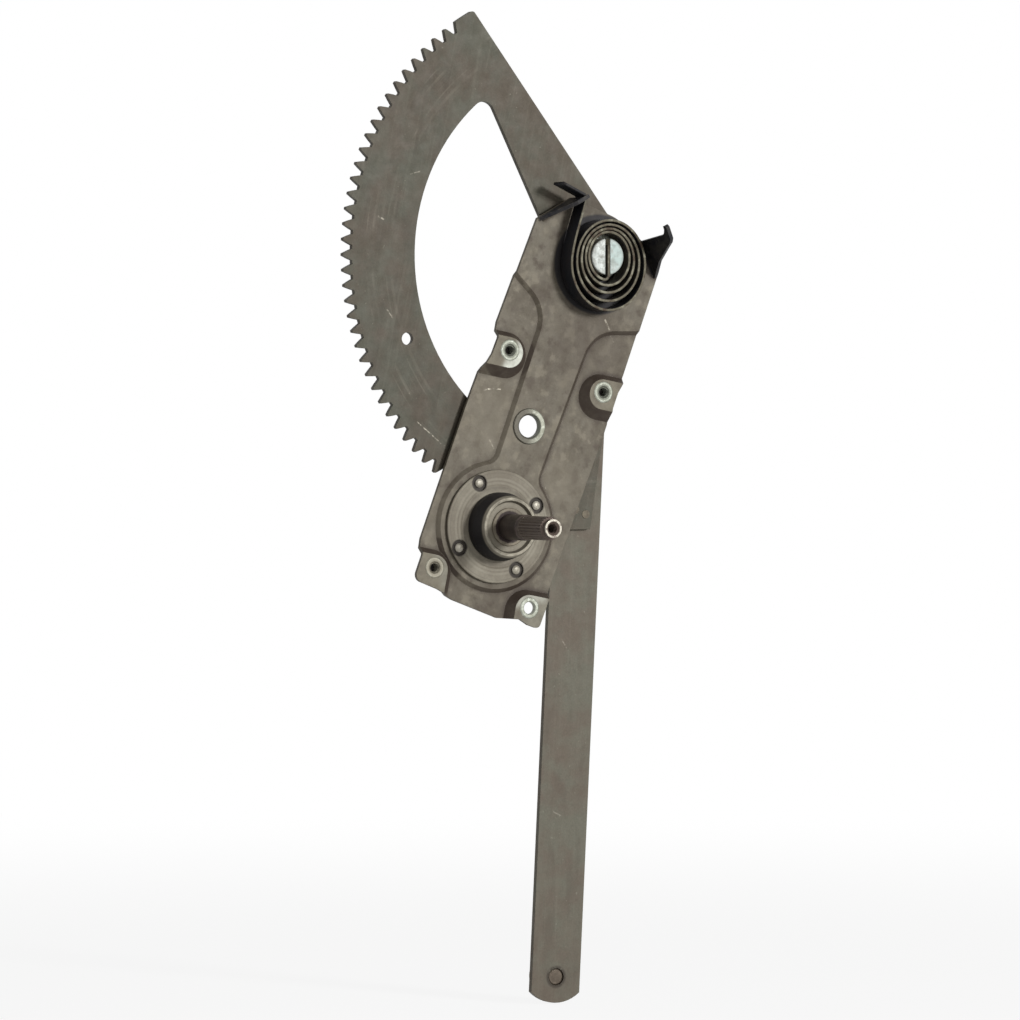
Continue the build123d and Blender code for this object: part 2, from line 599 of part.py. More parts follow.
def channel_sketch():
    """Raised zone round the pivot, running down to a round seat under the housing."""
    wide = 4 * CHANNEL_HALF_WIDTH
    high = CENTRE_DISTANCE + wide
    spread = CHANNEL_LEFT_SPREAD / (CHANNEL_FLARE_START - CHANNEL_SPREAD_START)
    sides = []
    for side, foot, neck in (
        (1, CHANNEL_HALF_WIDTH, CHANNEL_HALF_WIDTH),
        (-1, CHANNEL_HALF_WIDTH - spread * CHANNEL_SPREAD_START, CHANNEL_HALF_WIDTH + CHANNEL_LEFT_SPREAD),
    ):
        flare = CHANNEL_FLARE_START + (wide - neck) * tan(radians(CHANNEL_FLARE_RISE))
        levels = [(foot, 0), (neck, CHANNEL_FLARE_START), (wide, flare), (wide, high)]
        sides.append([(side * x, y) for x, y in levels])
    corners = sides[0] + sides[1][::-1]
    zone = make_face(Polyline([*corners, corners[0]]))
    bends = [v for v in zone.vertices() if abs(v.Y - CHANNEL_FLARE_START) < 0.01]
    zone = fillet(bends, CHANNEL_BEND_RADIUS)
    zone = zone + Circle(SHAFT_SEAT_RADIUS)
    joins = [v for v in zone.vertices() if 0.5 * SHAFT_SEAT_RADIUS < v.Y < SHAFT_SEAT_RADIUS]
    return fillet(joins, SEAT_BEND_RADIUS)


def bolt_places():
    """Fixing hole centres in plate coordinates, upper pair first, left before right."""
    turn = radians(BOLT_SKEW)
    places = []
    for along in (BOLT_SPACING_ALONG / 2, -BOLT_SPACING_ALONG / 2):
        for across in (-BOLT_SPACING_ACROSS / 2, BOLT_SPACING_ACROSS / 2):
            x = BOLT_CENTRE_ACROSS + across * cos(turn) - along * sin(turn)
            y = BOLT_CENTRE_ALONG + along * cos(turn) + across * sin(turn)
            places.append((x, y))
    return places


def pad_sketch(place, lower, radius, drop):
    """Pad round a fixing hole, open to the plate's side and, if lower, to its end."""
    side = 1 if place[0] > 0 else -1
    far = 60.0
    top, inner, bottom = (0, radius - drop), (-side * radius, -drop), (0, -radius - drop)
    if lower:
        middle = (-side * radius * cos(pi / 4), radius * sin(pi / 4) - drop)
        edges = [ThreePointArc(top, middle, inner)]
        corners = [inner, (inner[0], -far), (side * far, -far), (side * far, top[1]), top]
    else:
        edges = [ThreePointArc(top, inner, bottom)]
        corners = [bottom, (side * far, bottom[1]), (side * far, top[1]), top]
    edges += [Line(start, end) for start, end in zip(corners, corners[1:])]
    return Pos(*place) * (Rot(0, 0, PAD_TURN) * make_face(Wire(edges)))


def pad_pressing(place, lower):
    """Front and rear solids of a pad, whose wall is longer below than above."""
    solids = []
    for shrink, foot, face in ((0.0, WING_FACE, 0.0), (WALL_SHRINK, WING_BACK, -PLATE_SHEET)):
        wide = Pos(0, 0, foot) * pad_sketch(place, lower, PAD_FOOT_RADIUS - shrink, PAD_FOOT_DROP)
        narrow = Pos(0, 0, face) * pad_sketch(place, lower, PAD_RADIUS - shrink, PAD_DROP)
        solids.append(loft([wide, narrow], ruled=True))
    backing = pad_sketch(place, lower, PAD_FOOT_RADIUS, PAD_FOOT_DROP)
    return solids[0] + slab(backing, WING_BACK, WING_FACE), solids[1]


def frustum(sketch, bottom, top, ramp):
    """Solid that rises from a sketch grown by the ramp to the sketch itself."""
    grown = offset(sketch, ramp, kind=Kind.ARC)
    slope = degrees(atan2(ramp, top - bottom))
    return Pos(0, 0, bottom) * extrude(grown, top - bottom, taper=slope)


def channel_pressing(sketch, face, ramp):
    """Front and rear solids of a zone that stands above the wings with even walls."""
    front = frustum(sketch, WING_FACE, face, ramp) + slab(offset(sketch, ramp), WING_BACK, WING_FACE)
    rear = frustum(offset(sketch, -WALL_SHRINK), WING_BACK, face - PLATE_SHEET, ramp)
    return front, rear


def rising_plane(origin, x_way):
    """Plane with the given x direction whose y direction is towards the viewer."""
    return Plane(origin=origin, x_dir=(x_way.X, x_way.Y, 0), z_dir=(x_way.Y, -x_way.X, 0))


def make_tab(root, shoulder, edge):
    """Tab bent forward from one of the plate's upper corners, in plate coordinates."""
    run = Vector(*shoulder) - Vector(*root)
    along = run.normalized()
    inward = to_left(along) * (-1 if root[0] > 0 else 1)
    outline = [(0, -PLATE_SHEET), (run.length, -PLATE_SHEET), (run.length, 0), *edge]
    face = rising_plane((*root, CHANNEL_FACE), along) * make_face(Polyline([*outline, outline[0]]))
    tab = extrude(face, PLATE_SHEET, dir=(inward.X, inward.Y, 0))
    radius = TAB_BEND_RADIUS
    square = Rectangle(radius, radius, align=(Align.MIN, Align.MIN))
    fold = square - Pos(radius, radius) * Circle(radius)
    start = Vector(*root) + inward * PLATE_SHEET
    fold = rising_plane((start.X, start.Y, CHANNEL_FACE), inward) * fold
    return tab + extrude(fold, run.length - radius, dir=(along.X, along.Y, 0))


def make_base_plate():
    outline = plate_outline()
    plate = slab(outline, WING_BACK, WING_FACE)
    fronts, rears = [], []
    pressings = [channel_pressing(channel_sketch(), CHANNEL_FACE, CHANNEL_RAMP)]
    pressings += [pad_pressing(place, i >= 2) for i, place in enumerate(bolt_places())]
    for front, rear in pressings:
        fronts.append(front)
        rears.append(rear)
    prism = slab(outline, WING_BACK - 1, 1)
    for front in fronts:
        plate += front & prism
    for rear in rears:
        plate -= rear
    plate += make_tab(LEFT_TAB_ROOT, LEFT_TAB_SHOULDER, LEFT_TAB_EDGE)
    plate += make_tab(RIGHT_TAB_ROOT, RIGHT_TAB_SHOULDER, RIGHT_TAB_EDGE)
    for place in bolt_places():
        plate -= disc(NUT_RING_DIAMETER / 2 + PRESS_GAP, -PLATE_SHEET - 1, 1, place)
    plate -= disc(COLLAR_BARREL / 2 + PRESS_GAP, CHANNEL_BACK - 1, 0, (COLLAR_ACROSS, COLLAR_ALONG))
    plate -= disc(PIVOT_HOLE_RADIUS, CHANNEL_BACK - 1, 0, (0, CENTRE_DISTANCE))
    passage = PINION_HUB_DIAMETER / 2 + PINION_PASSAGE_CLEARANCE
    plate -= disc(passage, CHANNEL_BACK - 1, 0)
    for place in rivet_places():
        plate -= disc(RIVET_DIAMETER / 2 + PRESS_GAP, CHANNEL_BACK - 1, 0, place)
    return lean_right(plate)


def make_fixing_nuts():
    bore = THREAD_MINOR_DIAMETER / 2
    mouth = THREAD_MAJOR_DIAMETER / 2 + 0.3
    ring_radius, body = NUT_RING_DIAMETER / 2, NUT_BODY_DIAMETER / 2
    back = -PLATE_SHEET - NUT_BODY_DEPTH
    lip = mouth - bore
    profile = [
        (mouth, NUT_PROUD),
        (ring_radius - 0.6, NUT_PROUD),
        (ring_radius, NUT_PROUD - 0.3),
        (ring_radius, -PLATE_SHEET),
        (body, -PLATE_SHEET),
        (body, back + 0.8),
        (body - 0.8, back),
        (mouth, back),
        (bore, back + lip),
        (bore, NUT_PROUD - lip),
    ]
    hole, end = EYELET_BORE / 2, -PLATE_SHEET - EYELET_TAIL
    eyelet = [
        (hole, NUT_PROUD - 0.4),
        (hole + 0.4, NUT_PROUD),
        *profile[1:4],
        (body, -PLATE_SHEET),
        (body, end),
        (hole, end),
    ]
    *threaded, plain = bolt_places()
    nuts = [lean_right(turned(profile, place)) for place in threaded]
    return [*nuts, lean_right(turned(eyelet, plain))]


def make_locating_collar():
    bore, mouth, barrel, rim = COLLAR_BORE / 2, COLLAR_MOUTH / 2, COLLAR_BARREL / 2, COLLAR_RIM / 2
    front = CHANNEL_FACE + COLLAR_RIM_THICKNESS
    back = CHANNEL_BACK - COLLAR_TAIL
    profile = [
        (mouth, front),
        (rim - 0.5, front),
        (rim, front - 0.5),
        (rim, CHANNEL_FACE),
        (barrel, CHANNEL_FACE),
        (barrel, back),
        (bore, back),
        (bore, front - (mouth - bore)),
    ]
    return lean_right(turned(profile, (COLLAR_ACROSS, COLLAR_ALONG)))


# ---------------------------------------------------------------- housing and its rivets
def rivet_places():
    """Housing rivet centres in plate coordinates."""
    radius = FLANGE_DIAMETER / 2 - RIVET_EDGE
    return [polar(radius, 90 + RIVET_PHASE + 90 * i) for i in range(4)]


def make_brake_housing():
    flange, step = FLANGE_DIAMETER / 2, FLANGE_RING_DIAMETER / 2
    drum, nose = DRUM_DIAMETER / 2, DRUM_FRONT_DIAMETER / 2
    dish = DRUM_DISH_DIAMETER / 2
    bore = BUSH_RADIUS + PRESS_GAP
    profile = [
        (drum - DRUM_WALL, CHANNEL_FACE),
        (flange, CHANNEL_FACE),
        (flange, FLANGE_FACE - 0.4),
        (flange - 0.4, FLANGE_FACE),
        (step + 0.8, FLANGE_FACE),
        (step, FLANGE_FACE + FLANGE_RING_RISE),
        (drum, FLANGE_FACE + FLANGE_RING_RISE),
        (drum, FLANGE_FACE + DRUM_STRAIGHT),
        (nose + 0.6, DRUM_FACE - 1.2),
        (nose - 0.4, DRUM_FACE),
        (dish + 0.4, DRUM_FACE),
        (dish - 0.6, DISH_FACE),
        (bore, DISH_FACE),
        (bore, CAVITY_TOP),
        (nose - DRUM_WALL, CAVITY_TOP),
        (drum - DRUM_WALL, FLANGE_FACE + DRUM_STRAIGHT),
    ]
    housing = turned(profile)
    for place in rivet_places():
        housing -= disc(RIVET_POCKET_DIAMETER / 2, FLANGE_FACE - RIVET_POCKET_DEPTH, FLANGE_FACE + 1, place)
        housing -= disc(RIVET_DIAMETER / 2 + PRESS_GAP, CHANNEL_FACE - 1, FLANGE_FACE, place)
    return lean_right(housing)


def make_housing_rivets():
    shank, head, tail = RIVET_DIAMETER / 2, RIVET_HEAD_DIAMETER / 2, RIVET_TAIL_DIAMETER / 2
    seat = FLANGE_FACE - RIVET_POCKET_DEPTH
    crown = seat + RIVET_HEAD_HEIGHT
    end = FOOT_BACK - RIVET_TAIL_HEIGHT
    profile = [
        (0, crown),
        (head * 0.6, crown - 0.15),
        (head, crown - 0.7),
        (head, seat),
        (shank, seat),
        (shank, FOOT_BACK),
        (tail, FOOT_BACK),
        (tail - 0.7, end),
        (0, end),
    ]
    return [lean_right(turned(profile, place)) for place in rivet_places()]


def make_shaft_bush():
    bore, wall, rim = BUSH_BORE_RADIUS, BUSH_RADIUS, BUSH_BORE_RADIUS + BUSH_RIM_WALL
    front = DISH_FACE + BUSH_RIM_THICKNESS
    profile = [
        (bore, front),
        (rim - 0.4, front),
        (rim, front - 0.4),
        (rim, DISH_FACE),
        (wall, DISH_FACE),
        (wall, CAVITY_TOP),
        (bore, CAVITY_TOP),
    ]
    return turned(profile)


def make_pinion_bridge():
    inner = PINION_TIP_RADIUS + BRIDGE_INNER_CLEARANCE
    outer = inner + BRIDGE_SHEET
    height = BRIDGE_LEG_TOP - BRIDGE_LEG_BOTTOM
    web = Pos(0, (BRIDGE_LEG_BOTTOM + BRIDGE_LEG_TOP) / 2) * Rectangle(2 * outer, height)
    bridge = slab(web, BRIDGE_BACK, FOOT_BACK)
    bridge -= slab(Rectangle(2 * inner, 4 * BRIDGE_FOOT_REACH), BRIDGE_FRONT, FOOT_BACK + 1)
    width = BRIDGE_FOOT_EDGE - inner
    for side in (-1, 1):
        foot = RectangleRounded(width, 2 * BRIDGE_FOOT_REACH, BRIDGE_FOOT_ROUNDING)
        bridge += slab(Pos(side * (inner + width / 2), 0) * foot, FOOT_BACK, CHANNEL_BACK)
    bridge -= disc(SHAFT_JOURNAL_DIAMETER / 2 + RUNNING_CLEARANCE, BRIDGE_BACK - 1, BRIDGE_FRONT + 1)
    for place in rivet_places():
        bridge -= disc(RIVET_DIAMETER / 2 + PRESS_GAP, FOOT_BACK - 1, CHANNEL_BACK + 1, place)
    return lean_right(bridge)


# ---------------------------------------------------------------- winder shaft line
def make_winder_shaft():
    root, serrated, pilot = SHAFT_ROOT_DIAMETER / 2, SHAFT_SERRATED_DIAMETER / 2, SHAFT_PILOT_DIAMETER / 2
    dog, pinion, journal = SHAFT_DOG_DIAMETER / 2, SHAFT_PINION_DIAMETER / 2, SHAFT_JOURNAL_DIAMETER / 2
    groove = journal - CLIP_GROOVE_DEPTH
    end = CLIP_BACK - SHAFT_TAIL
    pilot_start = SHAFT_TIP - SHAFT_PILOT_LENGTH
    profile = [
        (0, end),
        (journal - 0.4, end),
        (journal, end + 0.4),
        (journal, CLIP_BACK),
        (groove, CLIP_BACK),
        (groove, CLIP_FRONT),
        (journal, CLIP_FRONT),
        (journal, PINION_BACK),
        (pinion, PINION_BACK),
        (pinion, PINION_HUB_FRONT),
        (dog, PINION_HUB_FRONT),
        (dog, DOG_FRONT),
        (root, DOG_FRONT),
        (root, SHAFT_STEP - 0.6),
        (serrated, SHAFT_STEP),
        (serrated, pilot_start - 0.6),
        (pilot, pilot_start),
        (pilot, SHAFT_TIP),
        (0, SHAFT_TIP),
    ]
    shaft = turned(profile)
    bore, mouth = THREAD_MINOR_DIAMETER / 2, SHAFT_MOUTH_DIAMETER / 2
    lip = mouth - bore
    hole = [
        (0, SHAFT_TIP - SHAFT_THREAD_DEPTH),
        (bore, SHAFT_TIP - SHAFT_THREAD_DEPTH),
        (bore, SHAFT_TIP - lip),
        (mouth, SHAFT_TIP),
        (0, SHAFT_TIP),
    ]
    shaft -= turned(hole)
    groove_size = SERRATION_DEPTH * sqrt(2)
    cutter = Pos(serrated, 0) * (Rot(0, 0, 45) * Rectangle(groove_size, groove_size))
    grooves = Sketch() + [Rot(0, 0, 360.0 / SHAFT_SERRATIONS * i) * cutter for i in range(SHAFT_SERRATIONS)]
    return shaft - slab(grooves, SHAFT_STEP + 2.0, pilot_start)


def jaw_sketch(start, arc, inner, outer):
    """Ring segment between two angles."""
    points = [polar(outer * 2, start), polar(outer * 2, start + arc / 2), polar(outer * 2, start + arc)]
    wedge = make_face(Polyline([(0, 0), *points, (0, 0)]))
    return (Circle(outer) - Circle(inner)) & wedge


def make_pinion():
    teeth = slab(pinion_profile(), PINION_BACK, PINION_FRONT)
    neck = disc(PINION_ROOT_RADIUS, PINION_FRONT, PINION_HUB_BACK)
    hub = disc(PINION_HUB_DIAMETER / 2, PINION_HUB_BACK, PINION_HUB_FRONT)
    pinion = teeth + neck + hub
    for start in (-PINION_JAW_ARC / 2, 180 - PINION_JAW_ARC / 2):
        jaw = jaw_sketch(start, PINION_JAW_ARC, JAW_INNER_DIAMETER / 2, PINION_HUB_DIAMETER / 2)
        pinion += slab(jaw, PINION_HUB_FRONT, JAW_TOP)
    return pinion - disc(SHAFT_PINION_DIAMETER / 2, PINION_BACK, PINION_HUB_FRONT)


def make_drive_dog():
    dog = disc(PINION_HUB_DIAMETER / 2, DOG_BACK, DOG_FRONT)
    for start in (90 - DOG_LUG_ARC / 2, 270 - DOG_LUG_ARC / 2):
        lug = jaw_sketch(start, DOG_LUG_ARC, JAW_INNER_DIAMETER / 2, PINION_HUB_DIAMETER / 2)
        dog += slab(lug, PINION_HUB_FRONT + DOG_PLAY, DOG_BACK)
    return dog - disc(SHAFT_DOG_DIAMETER / 2, DOG_BACK, DOG_FRONT)


def make_brake_spring():
    coil = DRUM_DIAMETER / 2 - DRUM_WALL - BRAKE_CLEARANCE - BRAKE_WIRE / 2
    start = FLANGE_FACE + DRUM_STRAIGHT - BRAKE_TURNS * BRAKE_PITCH - BRAKE_WIRE / 2
    path = Pos(0, 0, start) * Helix(BRAKE_PITCH, BRAKE_PITCH * BRAKE_TURNS, coil)
    section = Plane(origin=path @ 0, z_dir=path % 0) * Circle(BRAKE_WIRE / 2)
    return sweep(section, path=path, is_frenet=True)


def make_thrust_washer():
    inner = SHAFT_JOURNAL_DIAMETER / 2 + RUNNING_CLEARANCE
    return ring(inner, THRUST_WASHER_DIAMETER / 2, BRIDGE_FRONT + AXIAL_PLAY, PINION_BACK - AXIAL_PLAY)


def make_shaft_clip():
    groove = SHAFT_JOURNAL_DIAMETER / 2 - CLIP_GROOVE_DEPTH
    clip = Circle(CLIP_DIAMETER / 2) - Circle(groove + PRESS_GAP)
    clip -= Pos(0, -CLIP_DIAMETER / 2) * Rectangle(groove * 1.5, CLIP_DIAMETER)
    return slab(clip, CLIP_BACK + AXIAL_PLAY, CLIP_FRONT - AXIAL_PLAY)


# ---------------------------------------------------------------- pivot bearings
def make_pivot_bush():
    bore = STUD_JOURNAL_DIAMETER / 2 + RUNNING_CLEARANCE
    wall, rim = PIVOT_BUSH_DIAMETER / 2, PIVOT_BUSH_RIM_DIAMETER / 2
    profile = [
        (bore, CHANNEL_FACE),
        (wall, CHANNEL_FACE),
        (wall, CHANNEL_BACK),
        (rim, CHANNEL_BACK),
        (rim, SECTOR_FRONT + AXIAL_PLAY),
        (bore, SECTOR_FRONT + AXIAL_PLAY),
    ]
    return at_pivot(turned(profile))


def make_pivot_washer():
    bore = STUD_JOURNAL_DIAMETER / 2 + RUNNING_CLEARANCE
    top = CHANNEL_FACE + PIVOT_WASHER_THICKNESS
    return at_pivot(ring(bore, PIVOT_WASHER_DIAMETER / 2, CHANNEL_FACE, top))


# ---------------------------------------------------------------- counterbalance spring
def spiral_point(fraction):
    """Point of the spiral's middle line, from the stud outwards."""
    start = degrees(asin(TANG_BEND_RADIUS / (SPRING_INNER_RADIUS - TANG_BEND_RADIUS)))
    angle = radians(-90.0 - start - SPRING_SWEEP * fraction)
    growth = max(fraction, 0.0) ** SPRING_GROWTH_POWER
    radius = SPRING_INNER_RADIUS + (SPRING_OUTER_RADIUS - SPRING_INNER_RADIUS) * growth
    x = radius * cos(angle) + SPRING_SHIFT * growth
    return Vector(x, SPRING_STRETCH * radius * sin(angle) - SPRING_SAG * growth)


def spiral_heading(fraction):
    """Unit vector along the spiral, outwards and clockwise."""
    step = 1e-4
    return (spiral_point(fraction + step) - spiral_point(fraction - step)).normalized()


def bend(centre, radius, start, end):
    """Arc about a centre from one bearing to another."""
    points = [centre + Vector(*polar(radius, angle)) for angle in (start, (start + end) / 2, end)]
    return ThreePointArc(*points)


def hook_centre(run, leg):
    """Centre of the bend that takes the spring round the left tab's upper side."""
    along = (Vector(*LEFT_TAB_SHOULDER) - Vector(*LEFT_TAB_ROOT)).normalized()
    outer = Vector(*LEFT_TAB_ROOT)
    inner = outer + to_left(along) * PLATE_SHEET
    pivot = Vector(PIVOT_X, PIVOT_Y)
    outer = Vector(*plate_point(outer.X, outer.Y)) - pivot
    inner = Vector(*plate_point(inner.X, inner.Y)) - pivot
    # middle lines that just clear the tab's two corners, moved in by the bend's radius
    reach = STRIP_THICKNESS / 2 - HOOK_BEND_RADIUS
    near = inner - to_left(run) * (reach + HOOK_CLEARANCE)
    far = outer - to_left(leg) * (reach + HOOK_LEG_CLEARANCE)
    return meeting_point(near, run, far, leg)


def strip_edges(shift):
    """One side of the spring strip, shifted to the left of its run from tang to hook."""
    first = spiral_heading(0.0)
    tang_centre = spiral_point(0.0) - to_left(first) * TANG_BEND_RADIUS
    tang = bend(tang_centre, TANG_BEND_RADIUS + shift, 0.0, bearing(to_left(first)))
    tang_top = Vector((tang @ 0).X, TANG_RISE)

    count = int(SPRING_SWEEP / 30.0)
    fractions = [i / count for i in range(count + 1)]
    spiral = Spline([spiral_point(f) + to_left(spiral_heading(f)) * shift for f in fractions])

    run = Vector(*polar(1.0, 90.0 - SPRING_RUN_LEAN))
    leg = Vector(*polar(1.0, 90.0 + HOOK_LEG_LEAN))
    hook = bend(hook_centre(run, leg), HOOK_BEND_RADIUS - shift, -SPRING_RUN_LEAN, HOOK_LEG_LEAN)
    last = spiral_heading(1.0)
    straight = Spline([spiral @ 1, hook @ 0], tangents=[last, run])
    end = hook @ 1
    return [
        Line(tang_top, tang @ 0),
        tang,
        spiral,
        straight,
        hook,
        Line(end, end + leg * HOOK_LEG_LENGTH),
    ]


def make_counterbalance_spring():
    left = strip_edges(STRIP_THICKNESS / 2)
    right = strip_edges(-STRIP_THICKNESS / 2)
    caps = [Line(left[0] @ 0, right[0] @ 0), Line(left[-1] @ 1, right[-1] @ 1)]
    strip = make_face(Wire([*left, *right, *caps]))
    return at_pivot(slab(strip, SPRING_BACK, SPRING_FACE))


# ---------------------------------------------------------------- guide pin and roller
def make_guide_pin():
    shank, shoulder = PIN_SHANK_DIAMETER / 2, PIN_SHOULDER_DIAMETER / 2
    journal, head = PIN_JOURNAL_DIAMETER / 2, PIN_HEAD_DIAMETER / 2
    shoulder_back = ARM_BACK - PIN_SHOULDER_THICKNESS
    head_front = shoulder_back - ROLLER_WIDTH - 2 * ROLLER_PLAY - ROLLER_WASHER_THICKNESS
    head_back = head_front - PIN_HEAD_THICKNESS
    profile = [
        (0, ARM_FRONT - PIN_SINK),
        (shank - 0.8, ARM_FRONT - PIN_SINK),
        (shank, ARM_FRONT - PIN_SINK - 0.6),
        (shank, ARM_BACK),
        (shoulder, ARM_BACK),
        (shoulder, shoulder_back),
        (journal, shoulder_back),
        (journal, head_front),
        (head, head_front),
        (head - 0.8, head_back),
        (0, head_back),
    ]
    return at_pivot(turned(profile, pin_place()))


def make_guide_roller():
    bore = PIN_JOURNAL_DIAMETER / 2 + RUNNING_CLEARANCE
    rim = ROLLER_DIAMETER / 2
    front = ARM_BACK - PIN_SHOULDER_THICKNESS - ROLLER_PLAY
    back = front - ROLLER_WIDTH
    profile = [
        (bore, front),
        (rim - 1.0, front),
        (rim, front - 1.0),
        (rim, back + 1.0),
        (rim - 1.0, back),
        (bore, back),
    ]
    return at_pivot(turned(profile, pin_place()))


def make_roller_washer():
    front = ARM_BACK - PIN_SHOULDER_THICKNESS - ROLLER_WIDTH - 2 * ROLLER_PLAY
    back = front - ROLLER_WASHER_THICKNESS
    return at_pivot(
        ring(PIN_JOURNAL_DIAMETER / 2, ROLLER_WASHER_DIAMETER / 2, back, front, pin_place())
    )


# ---------------------------------------------------------------- all pieces
PIECES = {
    "base_plate": make_base_plate,
    "fixing_nuts": make_fixing_nuts,
    "locating_collar": make_locating_collar,
    "brake_housing": make_brake_housing,
    "housing_rivets": make_housing_rivets,
    "shaft_bush": make_shaft_bush,
    "pinion_bridge": make_pinion_bridge,
    "winder_shaft": make_winder_shaft,
    "drive_dog": make_drive_dog,
    "pinion": make_pinion,
    "brake_spring": make_brake_spring,
    "thrust_washer": make_thrust_washer,
    "shaft_clip": make_shaft_clip,
    "pivot_bush": make_pivot_bush,
    "pivot_washer": make_pivot_washer,
    "pivot_stud": make_pivot_stud,
    "sector_gear": make_sector_gear,
    "lift_arm": make_lift_arm,
    "arm_welds": make_arm_welds,
    "counterbalance_spring": make_counterbalance_spring,
    "guide_pin": make_guide_pin,
    "guide_roller": make_guide_roller,
    "roller_washer": make_roller_washer,
}

os.makedirs("parts", exist_ok=True)
for name, make in PIECES.items():
    made = make()
    solids = made if isinstance(made, list) else made.solids()
    stood = [stand_up(solid) for item in solids for solid in item.solids()]
    export_step(Compound(label=name, children=stood), f"parts/{name}.step")
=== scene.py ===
"""Dresses the hand-wound window regulator, adds its spiral strip, threads and nut ends, and stages it."""

import logging
import math
from dataclasses import dataclass
from enum import Enum
from typing import Any

import bpy
import numpy as np
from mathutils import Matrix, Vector


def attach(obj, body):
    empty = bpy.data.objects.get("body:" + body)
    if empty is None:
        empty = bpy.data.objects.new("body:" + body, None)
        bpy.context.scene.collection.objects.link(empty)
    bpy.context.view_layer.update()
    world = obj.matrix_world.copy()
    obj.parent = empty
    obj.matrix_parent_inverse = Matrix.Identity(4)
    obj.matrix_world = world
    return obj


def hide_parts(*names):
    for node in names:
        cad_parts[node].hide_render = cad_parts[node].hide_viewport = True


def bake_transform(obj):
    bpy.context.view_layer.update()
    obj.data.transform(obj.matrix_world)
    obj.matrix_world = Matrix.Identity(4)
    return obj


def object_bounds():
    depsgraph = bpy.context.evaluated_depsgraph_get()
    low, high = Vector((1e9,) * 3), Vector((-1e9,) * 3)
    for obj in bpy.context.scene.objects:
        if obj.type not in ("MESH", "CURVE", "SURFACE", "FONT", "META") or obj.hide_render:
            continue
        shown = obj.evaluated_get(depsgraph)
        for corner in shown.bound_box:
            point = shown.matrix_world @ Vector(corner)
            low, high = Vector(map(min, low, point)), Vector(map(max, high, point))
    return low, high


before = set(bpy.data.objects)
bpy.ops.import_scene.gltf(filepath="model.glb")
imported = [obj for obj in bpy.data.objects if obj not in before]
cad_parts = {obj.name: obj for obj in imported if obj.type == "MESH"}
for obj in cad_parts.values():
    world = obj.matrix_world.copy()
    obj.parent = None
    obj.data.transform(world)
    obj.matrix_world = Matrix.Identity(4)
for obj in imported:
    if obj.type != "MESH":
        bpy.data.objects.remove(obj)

LOG = logging.getLogger("regulator")
CAD_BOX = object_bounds()
MM = 0.001

Colour = tuple[float, float, float, float]
Spot = tuple[float, float]
WHITE: Colour = (1.0, 1.0, 1.0, 1.0)

# Axes that run front to back, by X and Z in millimetres, and the bearing of the plate's length.
SHAFT: Spot = (0.0, 0.0)
PIVOT: Spot = (59.5865, 140.377)
COLLAR: Spot = (19.21, 51.92)
GUIDE_PIN: Spot = (40.488, -236.64)
UPPER_LEFT: Spot = (6.74, 91.431)
UPPER_RIGHT: Spot = (62.138, 69.72)
LOWER_LEFT: Spot = (-37.228, -20.762)
LOWER_RIGHT: Spot = (18.17, -42.47)
GEAR_LINE = 67.0


def srgb(red: float, green: float, blue: float) -> Colour:
    """Turns an 8-bit display colour into the linear colour that a shader takes.

    Args:
        red: 0 to 255, as are green and blue.

    Returns:
        Linear red, green, blue and an alpha of 1.
    """
    shares = [channel / 255.0 for channel in (red, green, blue)]
    linear = [s / 12.92 if s <= 0.04045 else ((s + 0.055) / 1.055) ** 2.4 for s in shares]
    return (linear[0], linear[1], linear[2], 1.0)


# ---------------------------------------------------------------- shader maths
class Value:
    """A number that varies over a surface; arithmetic on it adds Math nodes."""

    def __init__(self, graph: "Graph", socket: bpy.types.NodeSocket) -> None:
        """Wraps one output socket of a graph."""
        self.graph = graph
        self.socket = socket

    def math(self, operation: str, *operands: "Value | float") -> "Value":
        """Adds one Math node.

        Args:
            operation: the node's operation.
            operands: its inputs in order.

        Returns:
            The node's result.
        """
        inputs = dict(enumerate(operands))
        return self.graph.value("ShaderNodeMath", {"operation": operation}, inputs)

    def __add__(self, other: "Value | float") -> "Value":
        """Sum."""
        return self.math("ADD", self, other)

    def __sub__(self, other: "Value | float") -> "Value":
        """Difference."""
        return self.math("SUBTRACT", self, other)

    def __rsub__(self, other: float) -> "Value":
        """Difference from a plain number."""
        return self.math("SUBTRACT", other, self)

    def __mul__(self, other: "Value | float") -> "Value":
        """Product."""
        return self.math("MULTIPLY", self, other)

    def __neg__(self) -> "Value":
        """Opposite."""
        return self.math("MULTIPLY", self, -1.0)

    def __or__(self, other: "Value") -> "Value":
        """Union of two masks, which is the larger of them."""
        return self.math("MAXIMUM", self, other)

    __radd__ = __add__
    __rmul__ = __mul__

    def away_from(self, centre: float) -> "Value":
        """Distance of the value from a number."""
        return self.math("ABSOLUTE", self - centre)

    def rise(self, low: float, high: float) -> "Value":
        """Smooth step from 0 at low to 1 at high; with low above high it falls.

        Args:
            low: value that gives 0.
            high: value that gives 1.

        Returns:
            The mask.
        """
        if low > high:
            return 1.0 - self.rise(high, low)
        inputs = {"Value": self, "From Min": low, "From Max": high}
        return self.graph.value("ShaderNodeMapRange", {"interpolation_type": "SMOOTHSTEP"}, inputs)


